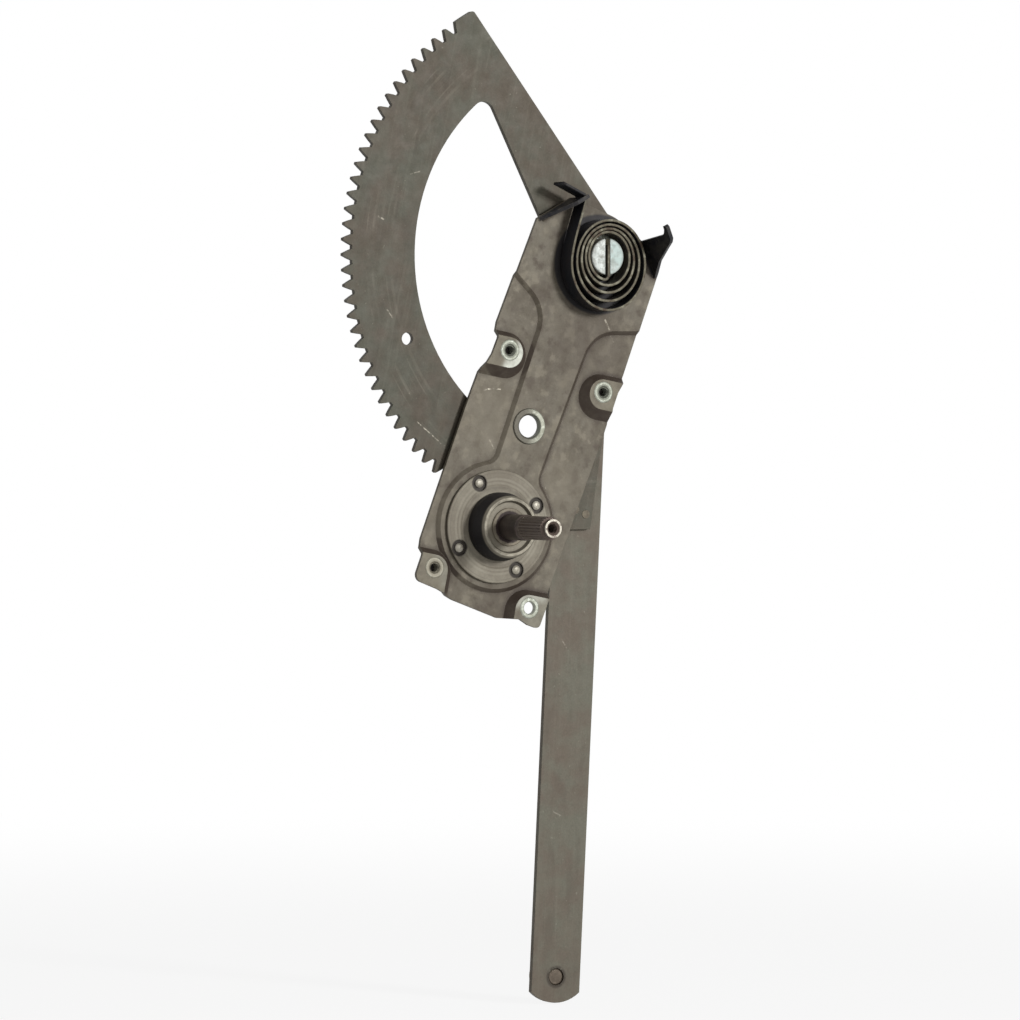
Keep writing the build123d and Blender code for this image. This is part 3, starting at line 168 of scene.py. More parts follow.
class Graph:
    """A node tree and the patterns that the finishes share. Lengths are millimetres."""

    def __init__(self, tree: bpy.types.NodeTree) -> None:
        """Starts with an empty tree."""
        self.tree = tree
        tree.nodes.clear()
        self.kept: dict[str, Any] = {}

    @staticmethod
    def _pick(sockets: Any, key: int | str) -> bpy.types.NodeSocket:
        """Socket by its place, identifier or name."""
        if isinstance(key, int):
            return sockets[key]
        named = {s.identifier: s for s in sockets}
        return named[key] if key in named else sockets[key]

    def node(
        self,
        kind: str,
        settings: dict[str, Any] | None = None,
        inputs: dict[int | str, Any] | None = None,
        output: int | str = 0,
    ) -> bpy.types.NodeSocket:
        """Adds a node, which is how every node is made.

        Args:
            kind: the node's type.
            settings: its properties, set first.
            inputs: values, sockets or Values for its inputs.
            output: which output to give back.

        Returns:
            That output socket.
        """
        made = self.tree.nodes.new(kind)
        for setting, choice in (settings or {}).items():
            setattr(made, setting, choice)
        for key, given in (inputs or {}).items():
            socket = self._pick(made.inputs, key)
            given = given.socket if isinstance(given, Value) else given
            if isinstance(given, bpy.types.NodeSocket):
                self.tree.links.new(given, socket)
            else:
                socket.default_value = given
        return self._pick(made.outputs, output) if len(made.outputs) else made.inputs[0]

    def value(self, *args: Any, **kwargs: Any) -> Value:
        """Adds a node whose output is used as a number."""
        return Value(self, self.node(*args, **kwargs))

    def mix(self, under: Any, over: Any, share: Any, blend: str = "MIX") -> bpy.types.NodeSocket:
        """Lays one colour over another.

        Args:
            under: colour or colour socket below.
            over: colour or colour socket on top.
            share: how much of the top one shows.
            blend: the Mix node's blend type.

        Returns:
            The mixed colour.
        """
        settings = {"data_type": "RGBA", "blend_type": blend}
        inputs = {"Factor_Float": share, "A_Color": under, "B_Color": over}
        return self.node("ShaderNodeMix", settings, inputs, "Result_Color")

    def vector(self, operation: str, *operands: Any, output: str = "Vector") -> Any:
        """Adds one Vector Math node."""
        inputs = dict(enumerate(operands))
        return self.node("ShaderNodeVectorMath", {"operation": operation}, inputs, output)

    def place(self) -> bpy.types.NodeSocket:
        """Where the surface is, in millimetres: the object's own coordinates."""
        if "place" not in self.kept:
            metres = self.node("ShaderNodeTexCoord", output="Object")
            self.kept["place"] = self.vector("MULTIPLY", metres, (1.0 / MM,) * 3)
        return self.kept["place"]

    def depth(self) -> Value:
        """How far the surface stands in front of the fixing pads' plane."""
        if "depth" not in self.kept:
            self.kept["depth"] = -self.value("ShaderNodeSeparateXYZ", None, {0: self.place()}, output=1)
        return self.kept["depth"]

    def slope(self) -> Value:
        """How far the surface leans from facing front or back: 0 where it is flat, 1 edge-on."""
        if "slope" not in self.kept:
            face = self.node("ShaderNodeNewGeometry", output="Normal")
            facing = Value(self, self.vector("DOT_PRODUCT", face, (0.0, 1.0, 0.0), output="Value"))
            self.kept["slope"] = 1.0 - facing.away_from(0.0)
        return self.kept["slope"]

    def hollow_shade(self, reach: float) -> Value:
        """Mask of hollow corners, for the painted shade that they hold, found by ambient occlusion.

        Args:
            reach: how far from the corner it goes.

        Returns:
            The mask.
        """
        # Painted shade: ambient occlusion turned into a mask that darkens hollow corners.
        settings = {"samples": 6, "only_local": True}
        open_to = self.value("ShaderNodeAmbientOcclusion", settings, {"Distance": reach * MM}, output="AO")
        return open_to.rise(0.985, 0.9)

    def along(self, bearing: float) -> Value:
        """How far the surface is from the shaft along a direction in the plate's plane.

        Args:
            bearing: degrees from X towards Z.

        Returns:
            The distance in millimetres.
        """
        turned = math.radians(bearing)
        way = (math.cos(turned), 0.0, math.sin(turned))
        return Value(self, self.vector("DOT_PRODUCT", self.place(), way, output="Value"))

    def radius(self, axis: Spot) -> Value:
        """Distance from a line that runs front to back.

        Args:
            axis: where the line crosses the plate, as X and Z.

        Returns:
            The distance in millimetres.
        """
        moved = self.vector("SUBTRACT", self.place(), (axis[0], 0.0, axis[1]))
        flat = self.vector("MULTIPLY", moved, (1.0, 0.0, 1.0))
        return Value(self, self.vector("LENGTH", flat, output="Value"))

    def cloud(self, size: float, seed: int, detail: float = 3.0, coarse: float = 0.55) -> Value:
        """Even noise.

        Args:
            size: width of its blotches.
            seed: number that moves it elsewhere.
            detail: octaves.
            coarse: share of the finer octaves.

        Returns:
            Noise about 0.5.
        """
        moved = self.vector("ADD", self.place(), (37.0 * seed, -53.0 * seed, 71.0 * seed))
        inputs = {"Vector": moved, "Scale": 1.0 / size, "Detail": detail, "Roughness": coarse}
        return self.value("ShaderNodeTexNoise", None, inputs)

    def streaks(self, bearing: float, length: float, width: float, seed: int) -> Value:
        """Noise drawn out along a direction in the plate's plane.

        Args:
            bearing: degrees from X towards Z.
            length: how long a streak is.
            width: how wide it is.
            seed: number that moves it elsewhere.

        Returns:
            Noise about 0.5.
        """
        inputs = {"Vector": self.place(), "Angle": math.radians(bearing)}
        turned = self.node("ShaderNodeVectorRotate", {"rotation_type": "Y_AXIS"}, inputs)
        drawn = self.vector("MULTIPLY", turned, (1.0 / length, 1.0 / width, 1.0 / width))
        moved = self.vector("ADD", drawn, (7.3 * seed, 3.1 * seed, -5.7 * seed))
        return self.value("ShaderNodeTexNoise", None, {"Vector": moved, "Scale": 1.0, "Detail": 3.0})

    def turning(self, axis: Spot, pitch: float, seed: int) -> Value:
        """Fine rings about an axis, as a lathe or a press tool leaves.

        Args:
            axis: X and Z of the axis.
            pitch: about how far apart the rings are.
            seed: number that changes them.

        Returns:
            Noise about 0.5 that depends on the radius only.
        """
        spread = self.node("ShaderNodeCombineXYZ", None, {0: self.radius(axis), 1: 9.0 * seed})
        inputs = {"Vector": spread, "Scale": 1.0 / pitch, "Detail": 3.0}
        return self.value("ShaderNodeTexNoise", None, inputs)

    def scratch(self, start: Spot, end: Spot, width: float) -> Value:
        """Mask of a thin straight scratch: 1 on the line, 0 past its width.

        The distance is that from a point to the nearest place on the segment, front to back left out.

        Args:
            start: X and Z of one end.
            end: X and Z of the other.
            width: how far the mask fades over.

        Returns:
            The mask.
        """
        way = (end[0] - start[0], 0.0, end[1] - start[1])
        squared = way[0] ** 2 + way[2] ** 2
        moved = self.vector("SUBTRACT", self.place(), (start[0], 0.0, start[1]))
        flat = self.vector("MULTIPLY", moved, (1.0, 0.0, 1.0))
        along = Value(self, self.vector("DOT_PRODUCT", flat, way, output="Value")) * (1.0 / squared)
        held = along.math("MINIMUM", along.math("MAXIMUM", along, 0.0), 1.0)
        nearest = self.node("ShaderNodeCombineXYZ", None, {0: held * way[0], 2: held * way[2]})
        away = Value(self, self.vector("DISTANCE", flat, nearest, output="Value"))
        return away.rise(width, width * 0.25)

    def rounded(self, radius: float) -> bpy.types.NodeSocket:
        """Normal with the edges eased over a radius."""
        return self.node("ShaderNodeBevel", {"samples": 6}, {"Radius": radius * MM})

    def edges(self, radius: float) -> Value:
        """Mask of the edges, where the eased normal leaves the face's own."""
        face = self.node("ShaderNodeNewGeometry", output="Normal")
        alike = Value(self, self.vector("DOT_PRODUCT", self.rounded(radius), face, output="Value"))
        return (1.0 - alike).rise(0.02, 0.22)

    def bump(self, height: Value, depth: float, under: Any) -> bpy.types.NodeSocket:
        """Fine relief.

        Args:
            height: 0 to 1.
            depth: how deep the relief is.
            under: the normal that it is laid on.

        Returns:
            The normal.
        """
        inputs = {"Strength": 1.0, "Distance": depth * MM, "Height": height, "Normal": under}
        return self.node("ShaderNodeBump", None, inputs)

    def surface(self, **sockets: Any) -> None:
        """Ends the tree in a Principled shader, with spaces in names written as underscores."""
        inputs = {name.replace("_", " "): given for name, given in sockets.items()}
        shader = self.node("ShaderNodeBsdfPrincipled", None, inputs)
        self.node("ShaderNodeOutputMaterial", None, {"Surface": shader})


# ---------------------------------------------------------------- finishes
class Wear(Enum):
    """How much handling a piece has seen: the share of bare metal at its edges."""

    SHELTERED = 0.15
    HANDLED = 0.45
    RUBBED = 0.8


@dataclass(frozen=True)
class Scratch:
    """A mark on a sheet, by X and Z in millimetres."""

    start: Spot
    end: Spot
    width: float = 0.5
    strength: float = 0.5


@dataclass(frozen=True)
class Finish:
    """A surface finish: two tones of one coat, with fine grain and rubbed edges.

    Attributes:
        name: the material's name.
        tone: the coat's main colour.
        second: the colour that it drifts to.
        bare: what shows at rubbed edges.
        metallic: share of bare metal look.
        roughness: mean roughness.
        gloss: specular level.
        wear: how rubbed the edges are.
        mottle: width of the blotches in millimetres.
        relief: depth of the fine grain in millimetres.
        ease: radius that edges look rounded by, in millimetres.
    """

    name: str
    tone: Colour
    second: Colour
    bare: Colour = srgb(168, 162, 148)
    metallic: float = 0.1
    roughness: float = 0.55
    gloss: float = 0.25
    wear: Wear = Wear.HANDLED
    mottle: float = 14.0
    relief: float = 0.02
    ease: float = 0.35

    def coat(self, graph: Graph) -> bpy.types.NodeSocket:
        """Mottled colour of the coat before its edges are rubbed.

        Args:
            graph: the tree it is drawn in.

        Returns:
            The colour.
        """
        broad = graph.cloud(self.mottle * 2.2, 1, 2.0)
        patch = graph.cloud(self.mottle * 0.6, 2, 4.0)
        drift = (broad * 0.6 + patch * 0.4).rise(0.38, 0.62)
        colour = graph.mix(self.tone, self.second, drift)
        grain = graph.cloud(0.9, 3, 2.0)
        shade = 0.8 + grain * 0.4
        both = graph.node("ShaderNodeCombineColor", None, {0: shade, 1: shade, 2: shade})
        return graph.mix(colour, both, 1.0, "MULTIPLY")

    def marks(self, graph: Graph) -> Value | None:
        """Mask of bare marks besides the edges; none on a plain finish."""
        return None

    def height(self, graph: Graph) -> Value:
        """Fine relief of the coat, 0 to 1."""
        return graph.cloud(0.8, 5, 3.0) * 0.6 + graph.cloud(6.0, 6, 2.0) * 0.4

    def material(self) -> bpy.types.Material:
        """Builds the finish once and gives it back.

        Returns:
            The material.
        """
        known = bpy.data.materials.get(self.name)
        if known:
            return known
        material = bpy.data.materials.new(self.name)
        material.use_nodes = True
        graph = Graph(material.node_tree)
        colour = self.coat(graph)
        broken = graph.cloud(2.6, 8, 3.0).rise(0.36, 0.6)
        bare = graph.edges(self.ease) * broken * self.wear.value
        marks = self.marks(graph)
        if marks is not None:
            bare = bare | marks
        colour = graph.mix(colour, self.bare, bare)
        uneven = graph.cloud(self.mottle * 0.4, 9, 3.0)
        graph.surface(
            Base_Color=colour,
            Metallic=self.metallic + bare * (0.75 - self.metallic),
            Roughness=self.roughness + (uneven - 0.5) * 0.3 - bare * 0.12,
            Specular_IOR_Level=self.gloss,
            Normal=graph.bump(self.height(graph), self.relief, graph.rounded(self.ease)),
        )
        return material


@dataclass(frozen=True)
class RolledSheet(Finish):
    """Phosphated sheet steel: faint rolling streaks, pale specks and a few scratches.

    Attributes:
        bearing: direction of rolling in the plate's plane, degrees from X.
        pale: colour of the paler smears.
        dull: colour of the darker smears.
        speck: colour of the pale specks.
        scratches: marks that went through the coat.
    """

    bearing: float = GEAR_LINE
    pale: Colour = srgb(112, 106, 93)
    dull: Colour = srgb(78, 70, 60)
    speck: Colour = srgb(150, 148, 132)
    scratches: tuple[Scratch, ...] = ()

    def coat(self, graph: Graph) -> bpy.types.NodeSocket:
        """Mottled coat with clouds of grey-green and brown, faint streaks and specks."""
        colour = Finish.coat(self, graph)
        smear = graph.streaks(self.bearing, 24.0, 7.0, 11)
        colour = graph.mix(colour, self.pale, smear.rise(0.5, 0.72) * 0.3)
        colour = graph.mix(colour, self.dull, smear.rise(0.48, 0.3) * 0.35)
        drawn = graph.streaks(self.bearing, 46.0, 1.7, 12).rise(0.52, 0.76)
        colour = graph.mix(colour, self.speck, drawn * 0.06)
        specks = graph.cloud(2.1, 13, 1.0).rise(0.73, 0.83)
        return graph.mix(colour, self.speck, specks * 0.3)

    def marks(self, graph: Graph) -> Value | None:
        """Scratches, broken up along their length."""
        total = None
        broken = graph.cloud(1.3, 14, 2.0).rise(0.35, 0.6)
        for mark in self.scratches:
            line = graph.scratch(mark.start, mark.end, mark.width) * broken * mark.strength
            total = line if total is None else total | line
        return total


@dataclass(frozen=True)
class PadRub:
    """A pad's face rubbed bright on one side of its hole.

    Attributes:
        hole: X and Z of the hole.
        bearing: which side, degrees from X towards Z.
        strength: how bright.
        reach: how far from the hole it goes.
    """

    hole: Spot
    bearing: float
    strength: float
    reach: float = 13.0

    def mask(self, graph: Graph) -> Value:
        """1 on the rubbed side past the nut, 0 elsewhere on the plate."""
        turned = math.radians(self.bearing)
        middle = self.hole[0] * math.cos(turned) + self.hole[1] * math.sin(turned)
        side = graph.along(self.bearing).rise(middle - 1.0, middle + 4.0)
        return side * graph.radius(self.hole).rise(self.reach, self.reach - 3.0) * self.strength


@dataclass(frozen=True)
class PressedPlate(RolledSheet):
    """The base plate's coat: painted shade on the ramps and walls where it was drawn and on its tabs, pale
    on its pads.

    Attributes:
        drawn: colour of the painted shade on the ramps and walls that the press drew, and in hollow
            corners.
        holes: X and Z of the four pads' holes, round which the walls get the most painted shade.
        wall_reach: how far from a hole its pad's wall goes.
        faded: X, Z and reach of the paler parts.
        dimmed: the same of the darker parts.
        pad: colour of the pads' faces.
        pad_depth: how far forward a surface counts as a pad's face.
        white: colour where a pad's coat was scoured off.
        rubs: the pads' rubbed sides.
        tab: colour of the painted shade on the tabs, and of the painted shadow under the spring.
        tab_start: how far along the plate's length they begin.
        tab_depth: how far forward they begin.
        stain: colour of the oily patch round the stud.
        stain_reach: how far from the stud it goes.
        coil: X and Z of the spring's middle, round which the plate gets a painted shadow of the spring.
        spring_shadow_reach: how far from there the painted shadow goes.
    """

    drawn: Colour = srgb(60, 51, 44)
    holes: tuple[Spot, ...] = (UPPER_LEFT, UPPER_RIGHT, LOWER_LEFT, LOWER_RIGHT)
    wall_reach: float = 17.0
    faded: tuple[tuple[float, float, float], ...] = (
        (-3.0, 57.0, 34.0),
        (36.0, 22.0, 24.0),
        (-30.0, 5.0, 20.0),
    )
    dimmed: tuple[tuple[float, float, float], ...] = ((56.0, 96.0, 44.0), (8.0, -36.0, 26.0))
    pad: Colour = srgb(118, 112, 97)
    pad_depth: float = -0.15
    white: Colour = srgb(204, 206, 195)
    rubs: tuple[PadRub, ...] = ()
    tab: Colour = srgb(26, 26, 31)
    tab_start: float = 141.0
    tab_depth: float = -2.3
    stain: Colour = srgb(66, 57, 49)
    stain_reach: float = 36.0
    coil: Spot = (60.4, 136.5)
    spring_shadow_reach: float = 26.9

    def coat(self, graph: Graph) -> bpy.types.NodeSocket:
        """Rolled coat, changed by how far forward the surface stands, with painted shade by how it leans.
        """
        colour = RolledSheet.coat(self, graph)
        depth = graph.depth()
        fleck = graph.cloud(5.0, 21, 3.0).rise(0.3, 0.65)
        blotch = graph.cloud(7.0, 24, 4.0, 0.6)
        colour = graph.mix(colour, self.pale, blotch.rise(0.5, 0.66))
        colour = graph.mix(colour, self.dull, blotch.rise(0.48, 0.3) * 0.85)
        for tint, places in ((self.pale, self.faded), (self.dull, self.dimmed)):
            for x, z, reach in places:
                colour = graph.mix(colour, tint, graph.radius((x, z)).rise(reach, reach * 0.2) * 0.5)
        face = depth.rise(self.pad_depth - 0.35, self.pad_depth)
        colour = graph.mix(colour, self.pad, face * (0.3 + fleck * 0.6))
        for rub in self.rubs:
            colour = graph.mix(colour, self.white, rub.mask(graph) * face * (0.6 + fleck * 0.4))
        oily = graph.radius(PIVOT).rise(self.stain_reach, self.stain_reach - 16.0) * fleck
        colour = graph.mix(colour, self.stain, oily * 0.4)
        # Painted shadow of the spring: a dark disc under the coil that shows just past its edge.
        spring_shadow = graph.radius(self.coil).rise(self.spring_shadow_reach, self.spring_shadow_reach - 1.5)
        colour = graph.mix(colour, self.tab, spring_shadow * 0.9)
        # Painted shade: ramps and walls darkened by how far they lean, fully round the pads and more on
        # the right-hand side, and hollow corners darkened by ambient occlusion.
        slope = graph.slope()
        right = graph.along(self.bearing - 90.0).rise(-2.0, 2.0)
        by_pad = right * 0.5 + 0.2
        for hole in self.holes:
            by_pad = graph.radius(hole).rise(self.wall_reach, self.wall_reach - 2.0) | by_pad
        slope_shade = slope.rise(0.05, 0.2) * slope.rise(0.85, 0.7) * (0.8 + fleck * 0.2) * by_pad
        colour = graph.mix(colour, self.drawn, slope_shade | graph.hollow_shade(3.2) * (right * 0.45 + 0.5))
        # Painted shade: the tabs, forward of the plate past tab_start, are darkened nearly to black.
        beyond = graph.along(self.bearing).rise(self.tab_start, self.tab_start + 5.0)
        tab_shade = beyond * depth.rise(self.tab_depth, self.tab_depth + 0.6)
        return graph.mix(colour, self.tab, tab_shade * (0.8 + fleck * 0.2))


@dataclass(frozen=True)
class SectorSheet(RolledSheet):
    """The toothed sector's coat, with arcs rubbed bright by the pinion and the plate.

    Attributes:
        inner: radius about the pivot where the arcs begin.
        outer: radius where they end, near the teeth.
    """

    inner: float = 112.0
    outer: float = 137.0

    def marks(self, graph: Graph) -> Value | None:
        """Scratches, and arcs about the pivot near the teeth."""
        radius = graph.radius(PIVOT)
        rings = graph.turning(PIVOT, 1.6, 22).rise(0.52, 0.74)
        patch = graph.cloud(26.0, 23, 2.0).rise(0.42, 0.62)
        band = radius.rise(self.inner, self.inner + 10.0) * radius.rise(self.outer, self.outer - 6.0)
        arcs = rings * patch * band * 0.16
        scratches = RolledSheet.marks(self, graph)
        return arcs if scratches is None else arcs | scratches


@dataclass(frozen=True)
class ArmSheet(RolledSheet):
    """The lift arm's coat, with painted shade in a ring where the guide pin is riveted in.

    Attributes:
        pin_shade: colour of the painted shade about the pin.
        reach: how far from the pin's axis it goes.
    """

    pin_shade: Colour = srgb(52, 44, 37)
    reach: float = 6.6

    def coat(self, graph: Graph) -> bpy.types.NodeSocket:
        """Rolled coat with the blotchy ring of painted shade."""
        colour = RolledSheet.coat(self, graph)
        near = graph.radius(GUIDE_PIN).rise(self.reach, self.reach - 1.7)
        ring = near * graph.cloud(2.0, 25, 2.0).rise(0.2, 0.5)
        return graph.mix(colour, self.pin_shade, ring * 0.85)


@dataclass(frozen=True)
class PressedDrum(Finish):
    """The winder housing's coat: press rings about the shaft, and painted shade on the drum's side, on
    sloping walls and in the rivet pockets.

    Attributes:
        side_shade: colour of the painted shade on the drum's side.
        dark_rings_and_shade: colour of the dark press rings, and of the painted shade round the rivets and
            on sloping walls.
        rivets: X and Z of the rivets.
        pocket_radius: how far from a rivet's axis that goes.
        front: how far forward the painted shade on the side stops, short of the rim.
    """

    side_shade: Colour = srgb(27, 25, 26)
    dark_rings_and_shade: Colour = srgb(44, 38, 33)
    rivets: tuple[Spot, ...] = ()
    pocket_radius: float = 4.8
    front: float = 12.7

    def coat(self, graph: Graph) -> bpy.types.NodeSocket:
        """Mottled coat with rings about the shaft, and painted shade in the pockets, on sloping walls and
        on the side.
        """
        colour = Finish.coat(self, graph)
        radius, depth, slope = graph.radius(SHAFT), graph.depth(), graph.slope()
        rings = graph.turning(SHAFT, 1.6, 31)
        colour = graph.mix(colour, self.bare, rings.rise(0.5, 0.7) * 0.25)
        colour = graph.mix(colour, self.dark_rings_and_shade, rings.rise(0.47, 0.3) * 0.25)
        # Painted shade in the pockets round the rivets.
        for rivet in self.rivets:
            about = graph.radius(rivet).rise(self.pocket_radius, self.pocket_radius - 0.8)
            colour = graph.mix(colour, self.dark_rings_and_shade, about * 0.95)
        # Painted shade: sloping walls darkened, and the drum's side darkened nearly to black.
        colour = graph.mix(colour, self.dark_rings_and_shade, slope.rise(0.2, 0.5) * 0.5)
        side = slope.rise(0.35, 0.7) * depth.rise(0.2, 0.6) * radius.rise(12.5, 14.0)
        return graph.mix(colour, self.side_shade, side * depth.rise(self.front, self.front - 1.5))

    def marks(self, graph: Graph) -> Value | None:
        """The drum's front rim, rubbed pale."""
        radius, depth = graph.radius(SHAFT), graph.depth()
        patch = graph.cloud(4.0, 32, 3.0).rise(0.25, 0.6)
        rim = depth.rise(self.front + 0.2, self.front + 0.8) * radius.rise(13.2, 14.0)
        return rim * patch * 0.45


@dataclass(frozen=True)
class WornBush(Finish):
    """The shaft's bush in the housing: a dull face with painted shade in the gap round the shaft.

    Attributes:
        gap_shade: colour of the painted shade.
        reach: how far from the axis it goes.
    """

    gap_shade: Colour = srgb(46, 36, 34)
    reach: float = 8.3

    def coat(self, graph: Graph) -> bpy.types.NodeSocket:
        """Dull coat under a ring of painted shade with a ragged rim."""
        colour = Finish.coat(self, graph)
        ragged = graph.radius(SHAFT) + (graph.cloud(1.6, 33, 3.0) - 0.5) * 1.6
        return graph.mix(colour, self.gap_shade, ragged.rise(self.reach + 0.4, self.reach - 0.5))


@dataclass(frozen=True)
class Turned(Finish):
    """Metal turned or headed about an axis, with fine rings.

    Attributes:
        axis: X and Z of the axis.
        pitch: how far apart the rings are.
    """

    axis: Spot = SHAFT
    pitch: float = 0.35

    def height(self, graph: Graph) -> Value:
        """Rings over a fine grain."""
        return graph.turning(self.axis, self.pitch, 41) * 0.7 + graph.cloud(0.5, 42, 2.0) * 0.3


@dataclass(frozen=True)
class OiledShaft(Turned):
    """The winder shaft: dark at its root, rubbed along the serrations, bright at its end.

    Attributes:
        step: how far forward the serrations start.
        tip: how far forward the shaft ends.
        rubbed: colour of the serrations.
    """

    step: float = 31.0
    tip: float = 60.0
    rubbed: Colour = srgb(106, 92, 84)

    def coat(self, graph: Graph) -> bpy.types.NodeSocket:
        """Oily coat, browner where the handle rubs it."""
        colour = Turned.coat(self, graph)
        depth, patch = graph.depth(), graph.cloud(2.4, 43, 3.0)
        handled = (depth + patch * 4.0).rise(self.step, self.step + 4.0)
        return graph.mix(colour, self.rubbed, handled * (0.5 + patch * 0.5))

    def marks(self, graph: Graph) -> Value | None:
        """The bright ring of the end face, and rubbed crests of the serrations."""
        radius, depth = graph.radius(SHAFT), graph.depth()
        patch = graph.cloud(1.2, 44, 2.0).rise(0.25, 0.55)
        ring = depth.rise(self.tip - 1.0, self.tip - 0.3) * radius.rise(3.4, 3.9)
        crest = radius.rise(5.8, 6.1) * depth.rise(self.step, self.step + 1.0) * 0.12
        return (ring | crest) * patch


@dataclass(frozen=True)
class SlottedHead(Turned):
    """The spring stud's bright front, dull inside its slot.

    Attributes:
        face: how far forward the front face is.
        sunk: colour inside the slot and down the sides.
        cast: colour of the half that is passivated.
        smut: colour of the smuts and of the face's rim.
    """

    face: float = 9.3
    sunk: Colour = srgb(186, 181, 165)
    cast: Colour = srgb(168, 184, 180)
    smut: Colour = srgb(120, 120, 112)

    def coat(self, graph: Graph) -> bpy.types.NodeSocket:
        """White face with a green-blue cast to one side and smuts, over dull sides."""
        colour = Turned.coat(self, graph)
        beside = graph.along(0.0).rise(self.axis[0] - 1.0, self.axis[0] + 3.0)
        colour = graph.mix(colour, self.cast, beside * graph.cloud(5.0, 46, 2.0).rise(0.2, 0.6) * 0.9)
        specks = graph.cloud(2.2, 48, 2.0).rise(0.45, 0.6)
        colour = graph.mix(colour, self.smut, (1.0 - beside) * specks * 0.5)
        smuts = graph.cloud(4.0, 47, 2.0).rise(0.46, 0.7)
        rim = graph.radius(self.axis).rise(7.6, 9.4)
        colour = graph.mix(colour, self.smut, (smuts * 0.55) | (rim * 0.5))
        return graph.mix(colour, self.sunk, graph.depth().rise(self.face - 0.2, self.face - 0.9))


@dataclass(frozen=True)
class TemperedStrip(Finish):
    """Blued spring strip: near black on its faces, scuffed grey-brown on its edges.

    Attributes:
        rim: colour of the strip's edges.
        polished: colour where they are rubbed.
        dust_and_light: paler colour of the faces inside the coil, which are dusty and also get painted
            light in the shaded gaps of the coil.
        coil: X, Z and radius of the coil's inside.
        rust: colour where they have browned.
    """

    rim: Colour = srgb(98, 93, 79)
    polished: Colour = srgb(150, 147, 130)
    rust: Colour = srgb(66, 52, 42)
    dust_and_light: Colour = srgb(74, 70, 59)
    coil: tuple[float, float, float] = (60.6, 136.2, 19.5)

    def coat(self, graph: Graph) -> bpy.types.NodeSocket:
        """Black faces and pale edges, by the strip's own edge attribute."""
        colour = Finish.coat(self, graph)
        edge = graph.value(
            "ShaderNodeAttribute", {"attribute_type": "GEOMETRY", "attribute_name": "rim"}, output="Fac"
        )
        patch = graph.cloud(4.0, 51, 3.0)
        worn = graph.mix(self.rim, self.polished, patch.rise(0.52, 0.68) * 0.6)
        worn = graph.mix(worn, self.rust, patch.rise(0.47, 0.33) * 0.8)
        # Dusty faces and painted light: the faces inside the coil are made paler in blotches, so the
        # shaded gaps between turns read lighter.
        inside = graph.radius(self.coil[:2]).rise(self.coil[2] + 1.0, self.coil[2] - 1.0)
        colour = graph.mix(colour, self.dust_and_light, inside * patch.rise(0.3, 0.6) * 0.8)
        return graph.mix(colour, worn, edge.rise(0.0, 1.0))


@dataclass(frozen=True)
class ZincPlate(Finish):
    """Bright zinc plate with white bloom and patches of grey film.

    Attributes:
        bloom: colour of the bloom.
        film: colour of the film.
    """

    bloom: Colour = srgb(226, 230, 224)
    film: Colour = srgb(120, 122, 112)

    def coat(self, graph: Graph) -> bpy.types.NodeSocket:
        """Two zinc tones under bloom and film."""
        colour = Finish.coat(self, graph)
        colour = graph.mix(colour, self.bloom, graph.cloud(1.6, 61, 3.0).rise(0.5, 0.7) * 0.6)
        return graph.mix(colour, self.film, graph.cloud(2.7, 62, 3.0).rise(0.56, 0.74) * 0.5)


@dataclass(frozen=True)
class NutPlating(ZincPlate):
    """Plating of a clinched piece: grey about each hole, and dulled with grime round some.

    Attributes:
        holes: X and Z of the holes.
        core: colour about them.
        reach: how far from a hole's axis that goes.
        dulled: X and Z of the grimy holes.
        grime: colour of the grime.
        grime_reach: how far from their axes it goes.
    """

    holes: tuple[Spot, ...] = ()
    core: Colour = srgb(92, 94, 84)
    reach: float = 4.2
    dulled: tuple[Spot, ...] = ()
    grime: Colour = srgb(126, 118, 103)
    grime_reach: float = 9.0

    def coat(self, graph: Graph) -> bpy.types.NodeSocket:
        """Plating, darkened near each hole and under the grime."""
        colour = ZincPlate.coat(self, graph)
        for hole in self.holes:
            near = graph.radius(hole).rise(self.reach + 0.5, self.reach - 0.5)
            colour = graph.mix(colour, self.core, near * 0.8)
        for hole in self.dulled:
            near = graph.radius(hole).rise(self.grime_reach, self.grime_reach - 2.0)
            colour = graph.mix(colour, self.grime, near * 0.7)
        return colour


@dataclass(frozen=True)
class CollarPlating(NutPlating):
    """Plating of the locating collar: greyer to one side.

    Attributes:
        shade: colour of that side.
    """

    shade: Colour = srgb(78, 74, 65)

    def coat(self, graph: Graph) -> bpy.types.NodeSocket:
        """Plating, dull on the left of the hole and dark in its mouth."""
        colour = NutPlating.coat(self, graph)
        middle = self.holes[0][0]
        return graph.mix(colour, self.shade, graph.along(0.0).rise(middle + 6.0, middle - 3.0) * 0.95)


